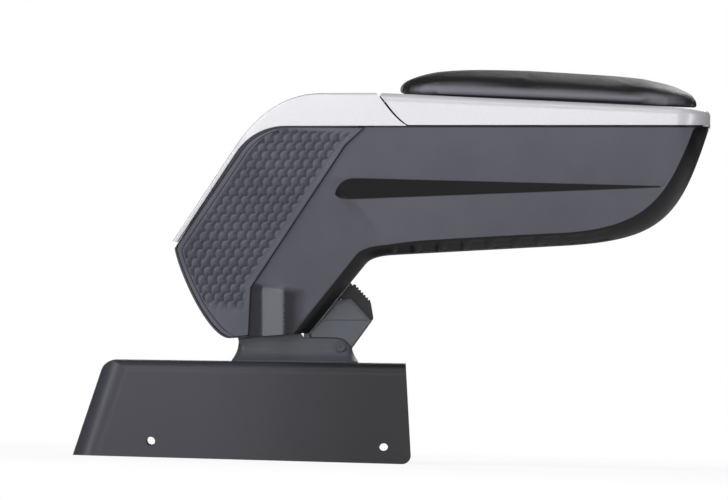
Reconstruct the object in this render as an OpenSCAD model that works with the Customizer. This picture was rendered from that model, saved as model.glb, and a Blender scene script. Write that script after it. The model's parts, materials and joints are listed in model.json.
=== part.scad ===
/* [Bracket] */
// Length of the bracket along its bottom edges
bracket_l = 254; // [235:1:290]
// Width across the outside of the bracket walls
bracket_w = 100; // [90:1:116]
// Height of the bracket at its rear end
bracket_h = 72; // [62:1:85]
// Rise of the top plate towards the front, in degrees
plate_rise = 0.8; // [0:0.1:2]
// Thickness of the bracket sheet
sheet_t = 2; // [1.5:0.1:3]
// Outside radius of the bends along the top plate
bend_r = 9; // [6:0.5:14]
// Outside radius of the two upright rear corners
rear_corner_r = 20; // [12:1:28]
// Lean of the rear wall from upright, in degrees
rear_lean = 17; // [8:1:22]
// Backward lean of the open front edge, in degrees
front_lean = 4.5; // [0:0.5:8]
// Diameter of the four fixing holes in the walls
hole_d = 6.5; // [5:0.1:9]
// Height of the fixing holes above the bottom edges
hole_up = 12; // [9:0.5:16]
// Distance from the rear end to the rear fixing holes
hole_rear = 58.5; // [45:0.5:70]
// Distance between the rear and front fixing holes
hole_span = 175; // [160:1:180]

/* [Foot] */
// Distance from the rear end of the bracket to the middle of the foot
foot_x = 165; // [155:1:172]
// Length of the foot where it stands on the bracket
foot_l = 95; // [90:1:104]
// Width of the foot where it stands on the bracket
foot_w = 72; // [66:1:80]
// Length of the upright neck above the flare
neck_l = 85; // [82:1:90]
// Width of the neck and of the tilt hub
neck_w = 56; // [52:1:58]
// Height of the neck where the arm comes to rest
neck_h = 18; // [17:0.5:18.5]
// Distance of the tilt axis behind the middle of the foot
pivot_back = 40.5; // [38:0.5:42]
// Height of the tilt axis above the top plate
pivot_up = 55.5; // [53:0.5:58]
// Diameter of the tilt pin
pivot_d = 10; // [8:0.5:12]
// Outside diameter of the tilt hub
hub_d = 30; // [26:1:34]
// Thickness of each friction washer on the tilt pin
washer_t = 1.5; // [1:0.1:2]
// Radius of the two rubber rest buffers
buffer_r = 2.8; // [2.2:0.1:3]

/* [Dock] */
// Thickness of the steel dock plate inside the foot
dock_t = 3; // [2.5:0.1:4]
// Length of the dock plate
dock_l = 58; // [54:1:60]
// Width of the dock plate
dock_w = 40; // [34:1:42]
// Diameter of the four dock bolts
bolt_d = 6; // [5:0.5:6]

/* [Release] */
// Width of the release button
button_w = 38; // [32:1:42]
// Travel of the release button
button_travel = 3; // [2:0.25:3]
// Width of the housing cheeks across both sides
housing_w = 54; // [50:1:56]
// Diameter of the lever pin
lever_pin_d = 6; // [5:0.5:6.5]
// Width of the release lever
lever_w = 10; // [8:1:12]

/* [Arm] */
// Width of the arm at the storage box
arm_w = 124; // [112:1:136]
// Width of the leg at its lower end
leg_w = 68; // [66:1:76]
// Height of the box rim above the top plate
rim_h = 176.6; // [172:0.5:182]
// Height of the box underside at the elbow above the top plate
elbow_h = 79.8; // [77:0.5:84]
// Rise of the underside towards the front, in degrees
belly_rise = 3.1; // [1:0.1:5]
// Reach of the box front ahead of the middle of the foot
reach = 310; // [290:1:330]
// Lean of the spine from level, in degrees
spine_angle = 56.5; // [55:0.5:58]
// Wall of the arm shell
shell_t = 2.6; // [2:0.1:3.2]
// Radius along the underside and the leg front
edge_r = 10; // [7:0.5:12]
// Radius of the front corners seen from above
nose_r = 25; // [18:1:30]
// Depth of the side ledge at its rear end
ledge_in = 6; // [3:0.5:7]
// Thickness of the textured side panels
panel_t = 1.5; // [1:0.1:2.5]
// Thickness of the trim along the spine
trim_t = 3.4; // [3:0.1:4.5]
// Height of the trim above the rim at the crown
crown_h = 24.8; // [22:0.2:27]
// Skin of the trim and of the lid frame
skin_t = 2.3; // [1.8:0.1:2.6]

/* [Box] */
// Wall of the storage bin
bin_t = 1.8; // [1.4:0.1:2.4]
// Height of the bin floor above the box underside at the elbow
bin_up = 20.8; // [19:0.2:36]
// Thickness of the mat on the bin floor
mat_t = 1.5; // [1:0.1:3]

/* [Lid] */
// Gap between the trim and the lid, measured level
lid_gap = 1.8; // [1.4:0.1:2.4]
// Slope of the lid top towards the front, in degrees
lid_slope = 2.7; // [2:0.1:3.2]
// Forward travel of the sliding lid
slide_travel = 50; // [30:5:60]
// Radius of the lid hinge knuckles
knuckle_r = 2.2; // [2:0.1:2.4]
// Diameter of the lid hinge pin
lid_pin_d = 2.2; // [1.8:0.1:2.4]
// Thickness of the carrier under the lid
carrier_t = 2.5; // [2:0.1:3]
// Width of the finger lip under the lid front
pull_w = 16; // [12:1:22]

/* [Pad] */
// Width of the arm pad
pad_w = 112; // [96:1:118]
// Length of the arm pad
pad_l = 229; // [200:1:232]
// Thickness of the arm pad
pad_t = 20.5; // [14:0.5:26]
// Thickness of the board under the pad
board_t = 2; // [1.5:0.1:3]

/* [Hidden] */

// Clearance between pieces that only lie next to each other
seat_gap = 0.3;
// Radial clearance of a pin in a bore it turns in
run_gap = 0.05;
// Radial clearance of a screw or bolt in its hole
bolt_gap = 0.25;
// Number of straight pieces in a quarter of a rounded outline
arc_n = 8;

// Straight mix of two values or points
function mix(a, b, t) = a + (b - a) * t;
// Smooth step from 0 at a to 1 at b
function ease(a, b, x) = let (t = max(0, min(1, (x - a) / (b - a)))) t * t * (3 - 2 * t);
function unit(v) = v / norm(v);
// Point and direction on a cubic curve given by its four control points
function bez(p, t) = p[0] * (1 - t)^3 + 3 * p[1] * t * (1 - t)^2 + 3 * p[2] * t^2 * (1 - t) + p[3] * t^3;
function bez_dir(p, t) = unit((p[1] - p[0]) * (1 - t)^2 + 2 * (p[2] - p[1]) * t * (1 - t)
    + (p[3] - p[2]) * t^2);
function bez_pts(p, n) = [for (i = [0:n]) bez(p, i / n)];
// A straight line written as a cubic curve
function straight(a, b) = [a, mix(a, b, 1 / 3), mix(a, b, 2 / 3), b];
// Arc about c from angle a to angle b
function arc(c, r, a, b, n = arc_n) = [for (i = [0:n]) c + r * [cos(mix(a, b, i / n)), sin(mix(a, b, i / n))]];
// Outline of a rectangle from x0 to x1, half as wide as hw each way, with its rear and front corners rounded
function round_plan(x0, x1, hw, rr, rf, n = arc_n) = concat(
    arc([x1 - rf, hw - rf], rf, 0, 90, n), arc([x0 + rr, hw - rr], rr, 90, 180, n),
    arc([x0 + rr, rr - hw], rr, 180, 270, n), arc([x1 - rf, rf - hw], rf, 270, 360, n));
function dir_of(a) = [cos(a), sin(a)];

// A profile drawn in x and z, carried across the width from y0 to y1
module across(pts, y0, y1) {
    translate([0, y1, 0]) rotate([90, 0, 0]) linear_extrude(y1 - y0) polygon(pts);
}

// A round bar across the width, centred on the middle plane
module cross_bar(p, r, len, fn = 48) {
    translate([p[0], 0, p[1]]) rotate([90, 0, 0]) cylinder(h = len, r = r, center = true, $fn = fn);
}

// A solid through closed rings with equal counts of points
module loft(rings) {
    m = len(rings[0]);
    n = len(rings);
    pts = [for (r = rings) each r];
    sides = [for (i = [0:n - 2]) for (j = [0:m - 1]) let (k = (j + 1) % m)
        each [[i * m + j, i * m + k, (i + 1) * m + k], [i * m + j, (i + 1) * m + k, (i + 1) * m + j]]];
    polyhedron(pts, concat([[for (j = [m - 1:-1:0]) j]], sides, [[for (j = [0:m - 1]) (n - 1) * m + j]]));
}

// An open-backed wall through rings that run along its outside and back along its inside.
// It starts on its bare edge and ends in a front wall.
module wall_loft(rings) {
    m = len(rings[0]);
    n = len(rings);
    h = m / 2;
    last = (n - 1) * m;
    pts = [for (r = rings) each r];
    start = [for (i = [0:h - 2]) each [[m - 1 - i, i + 1, i], [m - 1 - i, m - 2 - i, i + 1]]];
    sides = [for (i = [0:n - 2]) for (j = [0:m - 1]) let (k = (j + 1) % m)
        each [[i * m + j, i * m + k, (i + 1) * m + k], [i * m + j, (i + 1) * m + k, (i + 1) * m + j]]];
    outer_wall = [for (j = [0:h - 1]) last + j];
    inner_wall = [for (j = [h:m - 1]) last + j];
    top_strip = [last + h, last + m - 1, last, last + h - 1];
    polyhedron(pts, concat(start, sides, [outer_wall, inner_wall, top_strip]));
}

// A coil spring along z from its foot at the origin
module coil(r, wire, height, turns, per_turn = 12, sides = 5) {
    n = turns * per_turn;
    loft([for (i = [0:n]) let (a = 360 * i / per_turn, z = wire / 2 + (height - wire) * i / n)
        [for (k = [0:sides - 1]) let (q = -360 * k / sides, s = r + wire / 2 * cos(q))
            [s * cos(a), s * sin(a), z + wire / 2 * sin(q)]]]);
}

// Heights and places that several pieces share
leg_low = 17.3;
waist_z = 140;
waist_soft = 30;
side_draft = (arm_w - leg_w) / 2 / (waist_z - leg_low);
function soft_ramp(d, b) = d < -b ? 0 : d > b ? d : (d + b)^2 / (4 * b);
// Half width of the arm at a height above the top plate
function half_w(z) = arm_w / 2 - side_draft * soft_ramp(waist_z - z, waist_soft);

pivot = [-pivot_back, pivot_up];
plate_z = bracket_h + foot_x * tan(plate_rise);
arm_rise = 0.8;
// Distance that the raised nose draws back from its full reach
nose_back = 2.4;
total_front = foot_x + reach - nose_back;
shift_x = -total_front / 2;

// Frame of the top plate, with its origin under the middle of the foot
module on_plate() {
    translate([shift_x + foot_x, 0, plate_z]) rotate([0, -plate_rise, 0]) children();
}

// Frame of the arm, tipped up a little about the tilt pin where it rests
module on_arm() {
    on_plate() translate([pivot[0], 0, pivot[1]]) rotate([0, -arm_rise, 0])
        translate([-pivot[0], 0, -pivot[1]]) children();
}

// Curves of the arm seen from the side: the back and rim, and the leg front and underside
spine = dir_of(spine_angle);
spine_out = [-spine[1], spine[0]];
shoulder = [-43.5, rim_h - 18.4];
crown_end = [-8, rim_h];
elbow_a = [52.5, elbow_h - 6.8];
elbow_b = [74, elbow_h];
belly = dir_of(belly_rise);
belly_end = elbow_b + belly * (reach - 184);
nose_a = [reach, rim_h - 3];
front_dir = dir_of(72);
leg_dir = unit(elbow_a - [10.5, 21]);
open_x = 70;
elbow_c = elbow_b + belly * 22;
back_crown = [shoulder, shoulder + spine * 12, crown_end - [16, 0], crown_end];
rim_rear = straight(crown_end, [open_x, rim_h]);
rim_mid = straight([open_x, rim_h], [reach - 95, rim_h]);
rim_nose = straight([reach - 95, rim_h], [reach + 0.2, rim_h]);
front_elbow = [elbow_a, elbow_a + leg_dir * 6, elbow_b - belly * 10, elbow_b];
belly_rear = straight(elbow_b, elbow_c);
belly_mid = straight(elbow_c, belly_end);
belly_nose = [belly_end, belly_end + belly * 76, nose_a - front_dir * 70, nose_a];

// Side ledge: heights of its upper and lower edges along the arm
ledge_rear = 24;
ledge_front = reach - 20;
function ledge_top(x) = mix(rim_h - 39.5, rim_h - 45, (x - 64) / (reach - 98));
function ledge_low(x) = mix(rim_h - 54, rim_h - 46, (x - 64) / (reach - 98));
function ledge_depth(x) = ledge_in * ease(ledge_rear, ledge_rear + 16, x)
    * max(0, (ledge_front - x) / ledge_front);

// Lower end of the leg: a rounded heel from the tip of the trim, then the open bottom up to the toe
tip_low = shoulder - spine * 84;
heel = [tip_low + [-1.2, -3.5], tip_low + [1.8, -21], [-66, leg_low], [-50, leg_low]];
toe = [10.5, 21.4];
// Rise of the toe when the arm is tipped up to rest
toe_rise = 0.6;
function leg_end(t) = t < 0.6 ? bez(heel, t / 0.6) : mix(heel[3], toe, (t - 0.6) / 0.4);

bend_rows = 6;
// Half of one wall section from the back u to the front l, inset by e, as [x, y, z] from back to front.
// k blends it into the lower end of the leg.
function arm_half(u, l, r, e, k = 0) = let (
    down = l - u,
    span = norm(down),
    t0 = max(0.06, 1 - r / span),
    corner = nose_r - e,
    over = min(corner, max(0, u[0] - (reach - nose_r))),
    loss = corner - sqrt(corner^2 - over^2),
    drop = rim_h - l[1],
    xm = u[0] + down[0] * max(0, min(1, (rim_h - 48 - u[1]) / min(-1, down[1]))),
    f1 = max(0.25 * t0, min(0.6 * t0, (rim_h - ledge_top(xm)) / max(1, drop))),
    f2 = max(f1 + 0.02 * t0, min(0.85 * t0, (rim_h - ledge_low(xm)) / max(1, drop))),
    deep = ledge_depth(xm) * ease(20, 50, span - r) * (1 - k),
    rows = [0, f1 / 2, f1, f2, mix(f2, t0, 1 / 3), mix(f2, t0, 2 / 3), t0])
    concat(
        [for (t = rows) let (p = mix(mix(u, l, t), leg_end(t), k),
            g = t <= f1 ? 0 : t <= f2 ? (t - f1) / (f2 - f1) : (t0 - t) / (t0 - f2 + 0.001))
            [p[0], half_w(p[1]) - e - loss - deep * g, p[1]]],
        [for (i = [1:bend_rows]) let (q = sin(90 * i / bend_rows), t = t0 + (1 - t0) * q,
            p = mix(mix(u, l, t), leg_end(t), k))
            [p[0], half_w(p[1]) - e - r + (r - loss) * sqrt(max(0, 1 - q^2)), p[1]]]);
function mirrored(half) = [for (p = half) [p[0], -p[1], p[2]]];
function backwards(list) = [for (i = [len(list) - 1:-1:0]) list[i]];
function wall_ring(outer, inner) = concat(outer, backwards(mirrored(outer)), mirrored(inner), backwards(inner));

// Wall sections along one stretch of the arm. The back edge stays open for the trim, the bin and the lid.
function arm_zone(back, back_in, front, n, r0, r1, first = 1, leg = false) = [for (i = [first:n]) let (
    t = i / n,
    df = bez_dir(front, t),
    r = mix(r0, r1, ease(0, 1, t)),
    l = bez(front, t),
    k = leg ? 1 - t : 0)
    wall_ring(arm_half(bez(back, t), l, r, 0, k),
        arm_half(bez(back_in, t), l + [-df[1], df[0]] * shell_t, r - shell_t, shell_t, k))];

module arm_shell() on_arm() color("#5c5c66") {
    leg_back = straight(tip_low, shoulder);
    leg_front = straight(toe, elbow_a);
    nose_in = straight([reach - 95, rim_h], [reach + 0.2 - shell_t, rim_h]);
    wall_loft(concat(
        arm_zone(leg_back, leg_back, leg_front, 7, edge_r, edge_r, 0, true),
        arm_zone(back_crown, back_crown, front_elbow, 7, edge_r, edge_r),
        arm_zone(rim_rear, rim_rear, belly_rear, 5, edge_r, edge_r),
        arm_zone(rim_mid, rim_mid, belly_mid, 6, edge_r, edge_r),
        arm_zone(rim_nose, nose_in, belly_nose, 12, edge_r, nose_r)));
}
// Bushes inside the leg walls, cut to the slope of the walls, in which the arm turns on its pin
module tilt_bushes() on_arm() color("#3a3a3e") for (s = [0, 1]) mirror([0, s, 0]) difference() {
    translate([pivot[0], arm_w / 2, pivot[1]]) rotate([90, 0, 0])
        cylinder(h = arm_w / 2 - neck_w / 2 - washer_t - seat_gap, r = pivot_d / 2 + 5, $fn = 48);
    translate([0, half_w(0) - shell_t - 0.15, 0]) rotate([-atan(side_draft), 0, 0])
        translate([-200, 0, -100]) cube([400, 200, 400]);
    cross_bar(pivot, pivot_d / 2 + run_gap, arm_w * 2);
}

// Textured side panel: a thin sheet over the rear of the leg, from the trim to the slanted seam
seam_low = [-35.2, 19];
seam_bend = [-33.4, 55];
seam_high = [38, rim_h - 13.8];
seam_end = [52, rim_h - 1];
function panel_front(t) = t < 0.25 ? mix(seam_low, seam_bend, t / 0.25) :
    t < 0.88 ? mix(seam_bend, seam_high, (t - 0.25) / 0.63) : mix(seam_high, seam_end, (t - 0.88) / 0.12);
function panel_back(t) = t < 0.3 ? bez([for (i = [3:-1:0]) heel[i] + [1, 1]], t / 0.3) :
    t < 0.75 ? mix(tip_low + [1.6, 0.6], shoulder + [1.6, -1.2], (t - 0.3) / 0.45) :
    bez([for (p = back_crown) p + [1.6, -1.2]], (t - 0.75) / 0.25);
panel_rows = 18;
panel_cols = 6;
function panel_ring(t, y0, y1) = let (a = panel_back(t), b = panel_front(t)) concat(
    [for (i = [0:panel_cols]) let (p = mix(a, b, i / panel_cols)) [p[0], half_w(p[1]) + y1, p[1]]],
    [for (i = [panel_cols:-1:0]) let (p = mix(a, b, i / panel_cols)) [p[0], half_w(p[1]) + y0, p[1]]]);
module side_panel() {
    loft([for (i = [0:panel_rows]) panel_ring(i / panel_rows, 0.15, 0.15 + panel_t)]);
}
module left_side_panel() on_arm() color("#50525c") side_panel();
module right_side_panel() on_arm() color("#50525c") mirror([0, 1, 0]) side_panel();

// Silver trim: a hollow cap along the spine, over the crown and on to the lid
trim_out = panel_t + 0.15;
top_z = rim_h + crown_h;
function lid_top(x) = top_z - (x - knuckle[0]) * tan(lid_slope);
seam = [[61.4, top_z], [68, top_z - 8.4], [75, rim_h + 4.6], [86, rim_h - 0.8]];
knuckle = [62.3 + 0.9 + knuckle_r, top_z - knuckle_r];
trim_spine = straight(tip_low + spine_out * trim_t, shoulder + spine_out * trim_t);
trim_crown = [shoulder + spine_out * trim_t, shoulder + spine_out * trim_t + spine * 30,
    [-9, top_z], [20, top_z]];
trim_seat = seat_gap;
function trim_ring(t, b, e, cut) = let (down = unit(b - t), yt = half_w(t[1]) + trim_out - e,
    yb = half_w(b[1]) + trim_out - e, r = max(0.8, 2.2 - e), foot_pt = b + down * cut,
    half = concat([for (k = [0:4]) let (a = 22.5 * k, p = t + down * r * (1 - cos(a)))
        [p[0], yt - r * (1 - sin(a)), p[1]]], [[foot_pt[0], yb, foot_pt[1]]]))
    concat(half, [for (i = [len(half) - 1:-1:0]) [half[i][0], -half[i][1], half[i][2]]]);
function trim_zone(top, base, n, e, cut, first = 0) = [for (i = [first:n]) let (dt = bez_dir(top, i / n))
    trim_ring(bez(top, i / n) + [dt[1], -dt[0]] * e, bez(base, i / n), e, cut)];
module trim_body(e, cut) {
    loft(concat(
        trim_zone(trim_spine, straight(tip_low + spine * 1.5, shoulder), 6, e, cut),
        trim_zone(trim_crown, back_crown, 14, e, cut, 1),
        trim_zone(straight([20, top_z], [75, top_z]), straight(crown_end, [95, rim_h]), 4, e, cut, 1)));
}
module rear_trim() on_arm() color("#dcdce0") difference() {
    trim_body(0, -trim_seat);
    difference() {
        trim_body(skin_t, 6);
        // The lower tip stays solid
        across([tip_low + [-20, -20], tip_low + [20, -20], tip_low + spine * 3 + [12, -6],
            tip_low + spine * 3 + [-12, 6]], -arm_w, arm_w);
    }
    across(concat([for (p = bez_pts(seam, 12)) p - [lid_gap / 2, 0]], [[200, rim_h - 3], [200, top_z + 20],
        [58, top_z + 20]]), -arm_w, arm_w);
}

// Storage bin: a thin tray in the box with a flange over the rim
bin_low = elbow_h + bin_up;
bin_h = rim_h - bin_low;
bin_rear = open_x + shell_t + 1.2;
function bin_front(z) = let (f = (rim_h - z) / bin_h) reach - 11 - 14 * f - 40 * max(0, f)^4;
function bin_half(z) = half_w(z) - ledge_in * ease(rim_h - 30, rim_h - 46, z) - shell_t - 1.2;
function bin_back(z) = bin_rear + (rim_h - z) * 0.17;
bin_rear_r = 12;
bin_front_r = 20;
function bin_ring(z, e, zz) = [for (p = round_plan(bin_back(z) + e, bin_front(z) - e, bin_half(z) - e,
    bin_rear_r - e, bin_front_r - e, 5)) [p[0], p[1], zz]];
bin_levels = [0, 0.04, 0.12, 0.25, 0.42, 0.65, 1];
module storage_bin() on_arm() color("#2b2b2e") {
    flange = round_plan(bin_rear - 0.8, reach - 4, arm_w / 2 - 2.2, 12, nose_r - 3, 5);
    inner_floor = bin_t / bin_h;
    loft(backwards(concat(
        [for (f = bin_levels) bin_ring(bin_low + bin_h * f, f == 0 ? 2 : 0, bin_low + bin_h * f)],
        [for (z = [0.1, 1.3]) [for (p = flange) [p[0], p[1], rim_h + z]]],
        [bin_ring(rim_h, bin_t, rim_h + 1.3)],
        [for (f = backwards(bin_levels)) let (z = bin_low + bin_h * max(f, inner_floor))
            bin_ring(z, bin_t + (f == 0 ? 2 : 0), f < 0.1 ? z + (f > 0 ? 2 : 0) : z)])));
}
module bin_mat() on_arm() color("#1b1b1d") {
    z = bin_low + bin_t + 0.1;
    translate([0, 0, z]) linear_extrude(mat_t) polygon(round_plan(bin_back(z) + bin_t + 3,
        bin_front(z) - bin_t - 4, bin_half(z) - bin_t - 2.5, 9, 14, 5));
}

// Hinge block under the front of the trim, with the fixed knuckles of the lid hinge
knuckle_y = [14, 22, 34, 42];
hinge_play = 0.3;
block_x = [14, 58];
block_t = 4;
module hinge_block() on_arm() color("#232326") difference() {
    union() {
        // Cross member between the two shell walls
        translate([block_x[0], -arm_w / 2 + shell_t + 0.2, rim_h - block_t])
            cube([block_x[1] - block_x[0], arm_w - 2 * shell_t - 0.4, block_t]);
        for (s = [[knuckle_y[0], knuckle_y[1]], [knuckle_y[2], knuckle_y[3]],
                [-knuckle_y[1], -knuckle_y[0]], [-knuckle_y[3], -knuckle_y[2]]]) {
            across([knuckle + [-knuckle_r, 0], knuckle + [-7, -3.4], [46, rim_h - 1], [58, rim_h - 1],
                knuckle + [knuckle_r, 0]], s[0], s[1]);
            translate([knuckle[0], (s[0] + s[1]) / 2, knuckle[1]]) rotate([90, 0, 0])
                cylinder(h = s[1] - s[0], r = knuckle_r, center = true, $fn = 32);
        }
    }
    cross_bar(knuckle, lid_pin_d / 2 + 0.01, 100, 32);
}
module lid_hinge_pins() on_arm() color("#b4b4ba") for (s = [-1, 1])
    translate([0, s * (knuckle_y[0] + knuckle_y[3]) / 2, 0])
        cross_bar(knuckle, lid_pin_d / 2, knuckle_y[3] - knuckle_y[0], 32);

// Lid carrier: the hinged tray on which the silver lid slides
plate_top = -skin_t - 0.35;
carrier_x = [knuckle[0] + 9, reach - 6];
carrier_half = arm_w / 2 - 12.5;
carrier_corner = 12;
tongue_z = rim_h + 6.4;
tongue_t = 1.6;
tongue_reach = 6.8;
// Distance from either end of the carrier to its tongues
tongue_inset = 20;
module carrier_knuckle(y0, y1) {
    translate([knuckle[0], (y0 + y1) / 2, knuckle[1]]) rotate([90, 0, 0])
        cylinder(h = y1 - y0, r = knuckle_r, center = true, $fn = 32);
    across([knuckle + [0, -knuckle_r], knuckle + [0.5, plate_top + knuckle_r - 0.2],
        [carrier_x[0] + 6, lid_top(carrier_x[0] + 6) + plate_top],
        [carrier_x[0] + 6, lid_top(carrier_x[0] + 6) + plate_top - carrier_t]], y0, y1);
}
module lid_carrier() on_arm() color("#2a2a2d") difference() {
    union() {
        intersection() {
            across([for (q = [[0, 0], [1, 0], [1, -1], [0, -1]]) let (x = carrier_x[q[0]])
                [x, lid_top(x) + plate_top + q[1] * carrier_t]], -carrier_half, carrier_half);
            translate([0, 0, rim_h]) linear_extrude(top_z - rim_h)
                polygon(round_plan(carrier_x[0], carrier_x[1], carrier_half, 1, carrier_corner, 6));
        }
        // Rim that closes over the bin
        intersection() {
            translate([0, 0, rim_h + 2.2]) linear_extrude(30) difference() {
                polygon(round_plan(carrier_x[0] + 2, carrier_x[1] - 7, carrier_half, 6, 14, 6));
                polygon(round_plan(carrier_x[0] + 4, carrier_x[1] - 9, carrier_half - 2, 4, 12, 6));
            }
            across([[0, rim_h], [reach, rim_h], [reach, lid_top(reach) + plate_top - 1],
                [0, lid_top(0) + plate_top - 1]], -arm_w, arm_w);
        }
        // Tongues that run in the slide rails
        for (s = [0, 1]) mirror([0, s, 0]) translate([carrier_x[0] + tongue_inset, carrier_half - 1, tongue_z])
            cube([carrier_x[1] - carrier_x[0] - 2 * tongue_inset, tongue_reach, tongue_t]);
        for (s = [-1, 1]) carrier_knuckle(s > 0 ? knuckle_y[1] + hinge_play : -knuckle_y[2] + hinge_play,
            s > 0 ? knuckle_y[2] - hinge_play : -knuckle_y[1] - hinge_play);
    }
    cross_bar(knuckle, lid_pin_d / 2 + run_gap, 100, 32);
}
// Magnet under the front of the carrier and the steel plate that it holds
strike_t = 0.8;
magnet_x = reach - 12.3;
magnet_low = rim_h + 2.5;
magnet_l = 5;
magnet = [magnet_l, 16, lid_top(magnet_x + magnet_l) + plate_top - carrier_t - 0.1 - magnet_low];
module catch_magnet() on_arm() color("#9a9aa0") translate([magnet_x, -magnet[1] / 2, magnet_low])
    cube(magnet);
module strike_plate() on_arm() color("#b4b4ba") translate([magnet_x + 1.2, -magnet[1] / 2, rim_h + 1.35])
    cube([magnet[0] - 1.6, magnet[1], strike_t]);

// Silver lid frame
lid_half = arm_w / 2 + trim_out;
lid_low = rim_h + 0.8;
lid_edge_r = 6;
lid_front = reach + 1.5;
function lid_ring(e, inset, level, drop) = [for (p = round_plan(40, lid_front - e - inset, lid_half - e - inset,
    4, nose_r + 1.5 - e - inset, 8)) [p[0], p[1], level < 0 ? lid_low + drop : lid_top(p[0]) - e - drop]];
function lid_side(e) = let (r = lid_edge_r - e) concat([lid_ring(e, 0, -1, 0)],
    [for (k = [0:4]) let (a = 22.5 * k) lid_ring(e, r * (1 - cos(a)), 1, r * (1 - sin(a)))]);
lid_tail = concat([[20, rim_h - 20], [20, top_z + 30], [knuckle[0], top_z + 30]],
    arc(knuckle, knuckle_r, 90, 180, 6),
    [for (i = [3:12]) bez(seam, i / 12) + [lid_gap / 2, 0]], [seam[3] + [lid_gap / 2 + 4, -20]]);
lid_screws = [for (x = [40, 180]) for (y = [-30, 30]) [x, y]];
pad_screw_d = 3.5;
pad_head_r = 3.5;
pad_head_h = 1.1;
module on_lid() {
    on_arm() translate([knuckle[0], 0, top_z]) rotate([0, lid_slope, 0]) children();
}
module lid_frame() color("#dcdce0") difference() {
    on_arm() union() {
        loft(concat(backwards(lid_side(0)), lid_side(skin_t)));
        // Finger lip under the front edge
        across([[lid_front - 1.2, lid_low - 2.4], [lid_front + 0.3, lid_low - 2.4],
            [lid_front + 0.3, lid_low + 2], [lid_front - 1.2, lid_low + 2]], -pull_w / 2, pull_w / 2);
    }
    on_arm() across(lid_tail, -arm_w, arm_w);
    // Openings in the rear edge for the hinge knuckles
    on_arm() for (s = [-1, 1]) translate([knuckle[0] - 10, s * (knuckle_y[0] + knuckle_y[3]) / 2
        - (knuckle_y[3] - knuckle_y[0]) / 2 - 0.8, knuckle[1] - 8])
        cube([14.5, knuckle_y[3] - knuckle_y[0] + 1.6, 20]);
    on_lid() for (p = lid_screws) translate([p[0], p[1], -skin_t - 1]) {
        cylinder(h = 10, r = pad_screw_d / 2 + bolt_gap, $fn = 24);
        cylinder(h = 1, r = pad_head_r + bolt_gap, $fn = 24);
        translate([0, 0, 0.99]) cylinder(h = pad_head_h, r1 = pad_head_r + bolt_gap,
            r2 = pad_screw_d / 2 + bolt_gap, $fn = 24);
    }
}
// Grooved rails inside the lid frame
// The tongues stand out of the rails by this much with the lid slid forward
rail_lead = 1.4;
rail_x = [knuckle[0] + 28, carrier_x[1] - tongue_inset + rail_lead - slide_travel];
module slide_rail() difference() {
    translate([rail_x[0], carrier_half + 1.5, rim_h + 3.4])
        cube([rail_x[1] - rail_x[0], lid_half - skin_t - 0.15 - carrier_half - 1.5, 6.8]);
    translate([rail_x[0] - 1, carrier_half, tongue_z - 0.3])
        cube([rail_x[1] - rail_x[0] + 2, tongue_reach, tongue_t + 0.6]);
}
module left_slide_rail() on_arm() color("#4a4a4e") slide_rail();
module right_slide_rail() on_arm() color("#4a4a4e") mirror([0, 1, 0]) slide_rail();

// Pad: a stuffed cushion over a thin board, both following the slope of the lid
pad_x = 9.6;
pad_half = pad_w / 2;
function pad_h(x) = pad_t * min(1, pow(max(0.02, x / 48), 0.3))
    * min(1, pow(max(0.02, (pad_l - x) / 42), 0.25));
function pad_b(x) = let (d = min(x / 34, (pad_l - x) / 48, 1)) pad_half * pow(1 - pow(1 - d, 2.4), 1 / 2.4);
function pad_ring(x) = let (b = max(8, pad_b(x)), h = pad_h(x)) concat([[pad_x + x, b - 2, 0.25]],
    [for (a = [0:15:180]) let (c = cos(a), s = sin(a)) [pad_x + x, b * sign(c) * pow(abs(c), 0.55),
        0.6 + (h - 0.6) * pow(s, 0.55)]], [[pad_x + x, 2 - b, 0.25]]);
pad_steps = [0, 1, 2.5, 5, 9, 15, 23, 34, 48, 75, 105, 135, 160, 181, 195, 205, 212, 218, 222.5, 226, 228, 229];
module board_form(e) {
    translate([0, 0, 0.25 - e]) linear_extrude(board_t + 2 * e) polygon(round_plan(pad_x + 6 - e,
        pad_x + pad_l - 8 + e, pad_half - 7 + e, 22, 34, 8));
}
module arm_pad() on_lid() color("#202023") difference() {
    loft([for (x = pad_steps) pad_ring(x * pad_l / 229)]);
    translate([0, 0, -1]) board_form(0.3);
    board_form(0.3);
}
module pad_board() on_lid() color("#1c1c1e") difference() {
    board_form(0);
    for (p = lid_screws) translate([p[0], p[1], -1]) cylinder(h = 10, r = pad_screw_d / 2 + 0.02, $fn = 24);
}
module pad_screws() on_lid() color("#8a8a90") for (p = lid_screws) translate([p[0], p[1], -skin_t]) {
    cylinder(h = skin_t + board_t + 0.1, r = pad_screw_d / 2, $fn = 24);
    cylinder(h = pad_head_h, r1 = pad_head_r, r2 = pad_screw_d / 2, $fn = 24);
}

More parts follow.
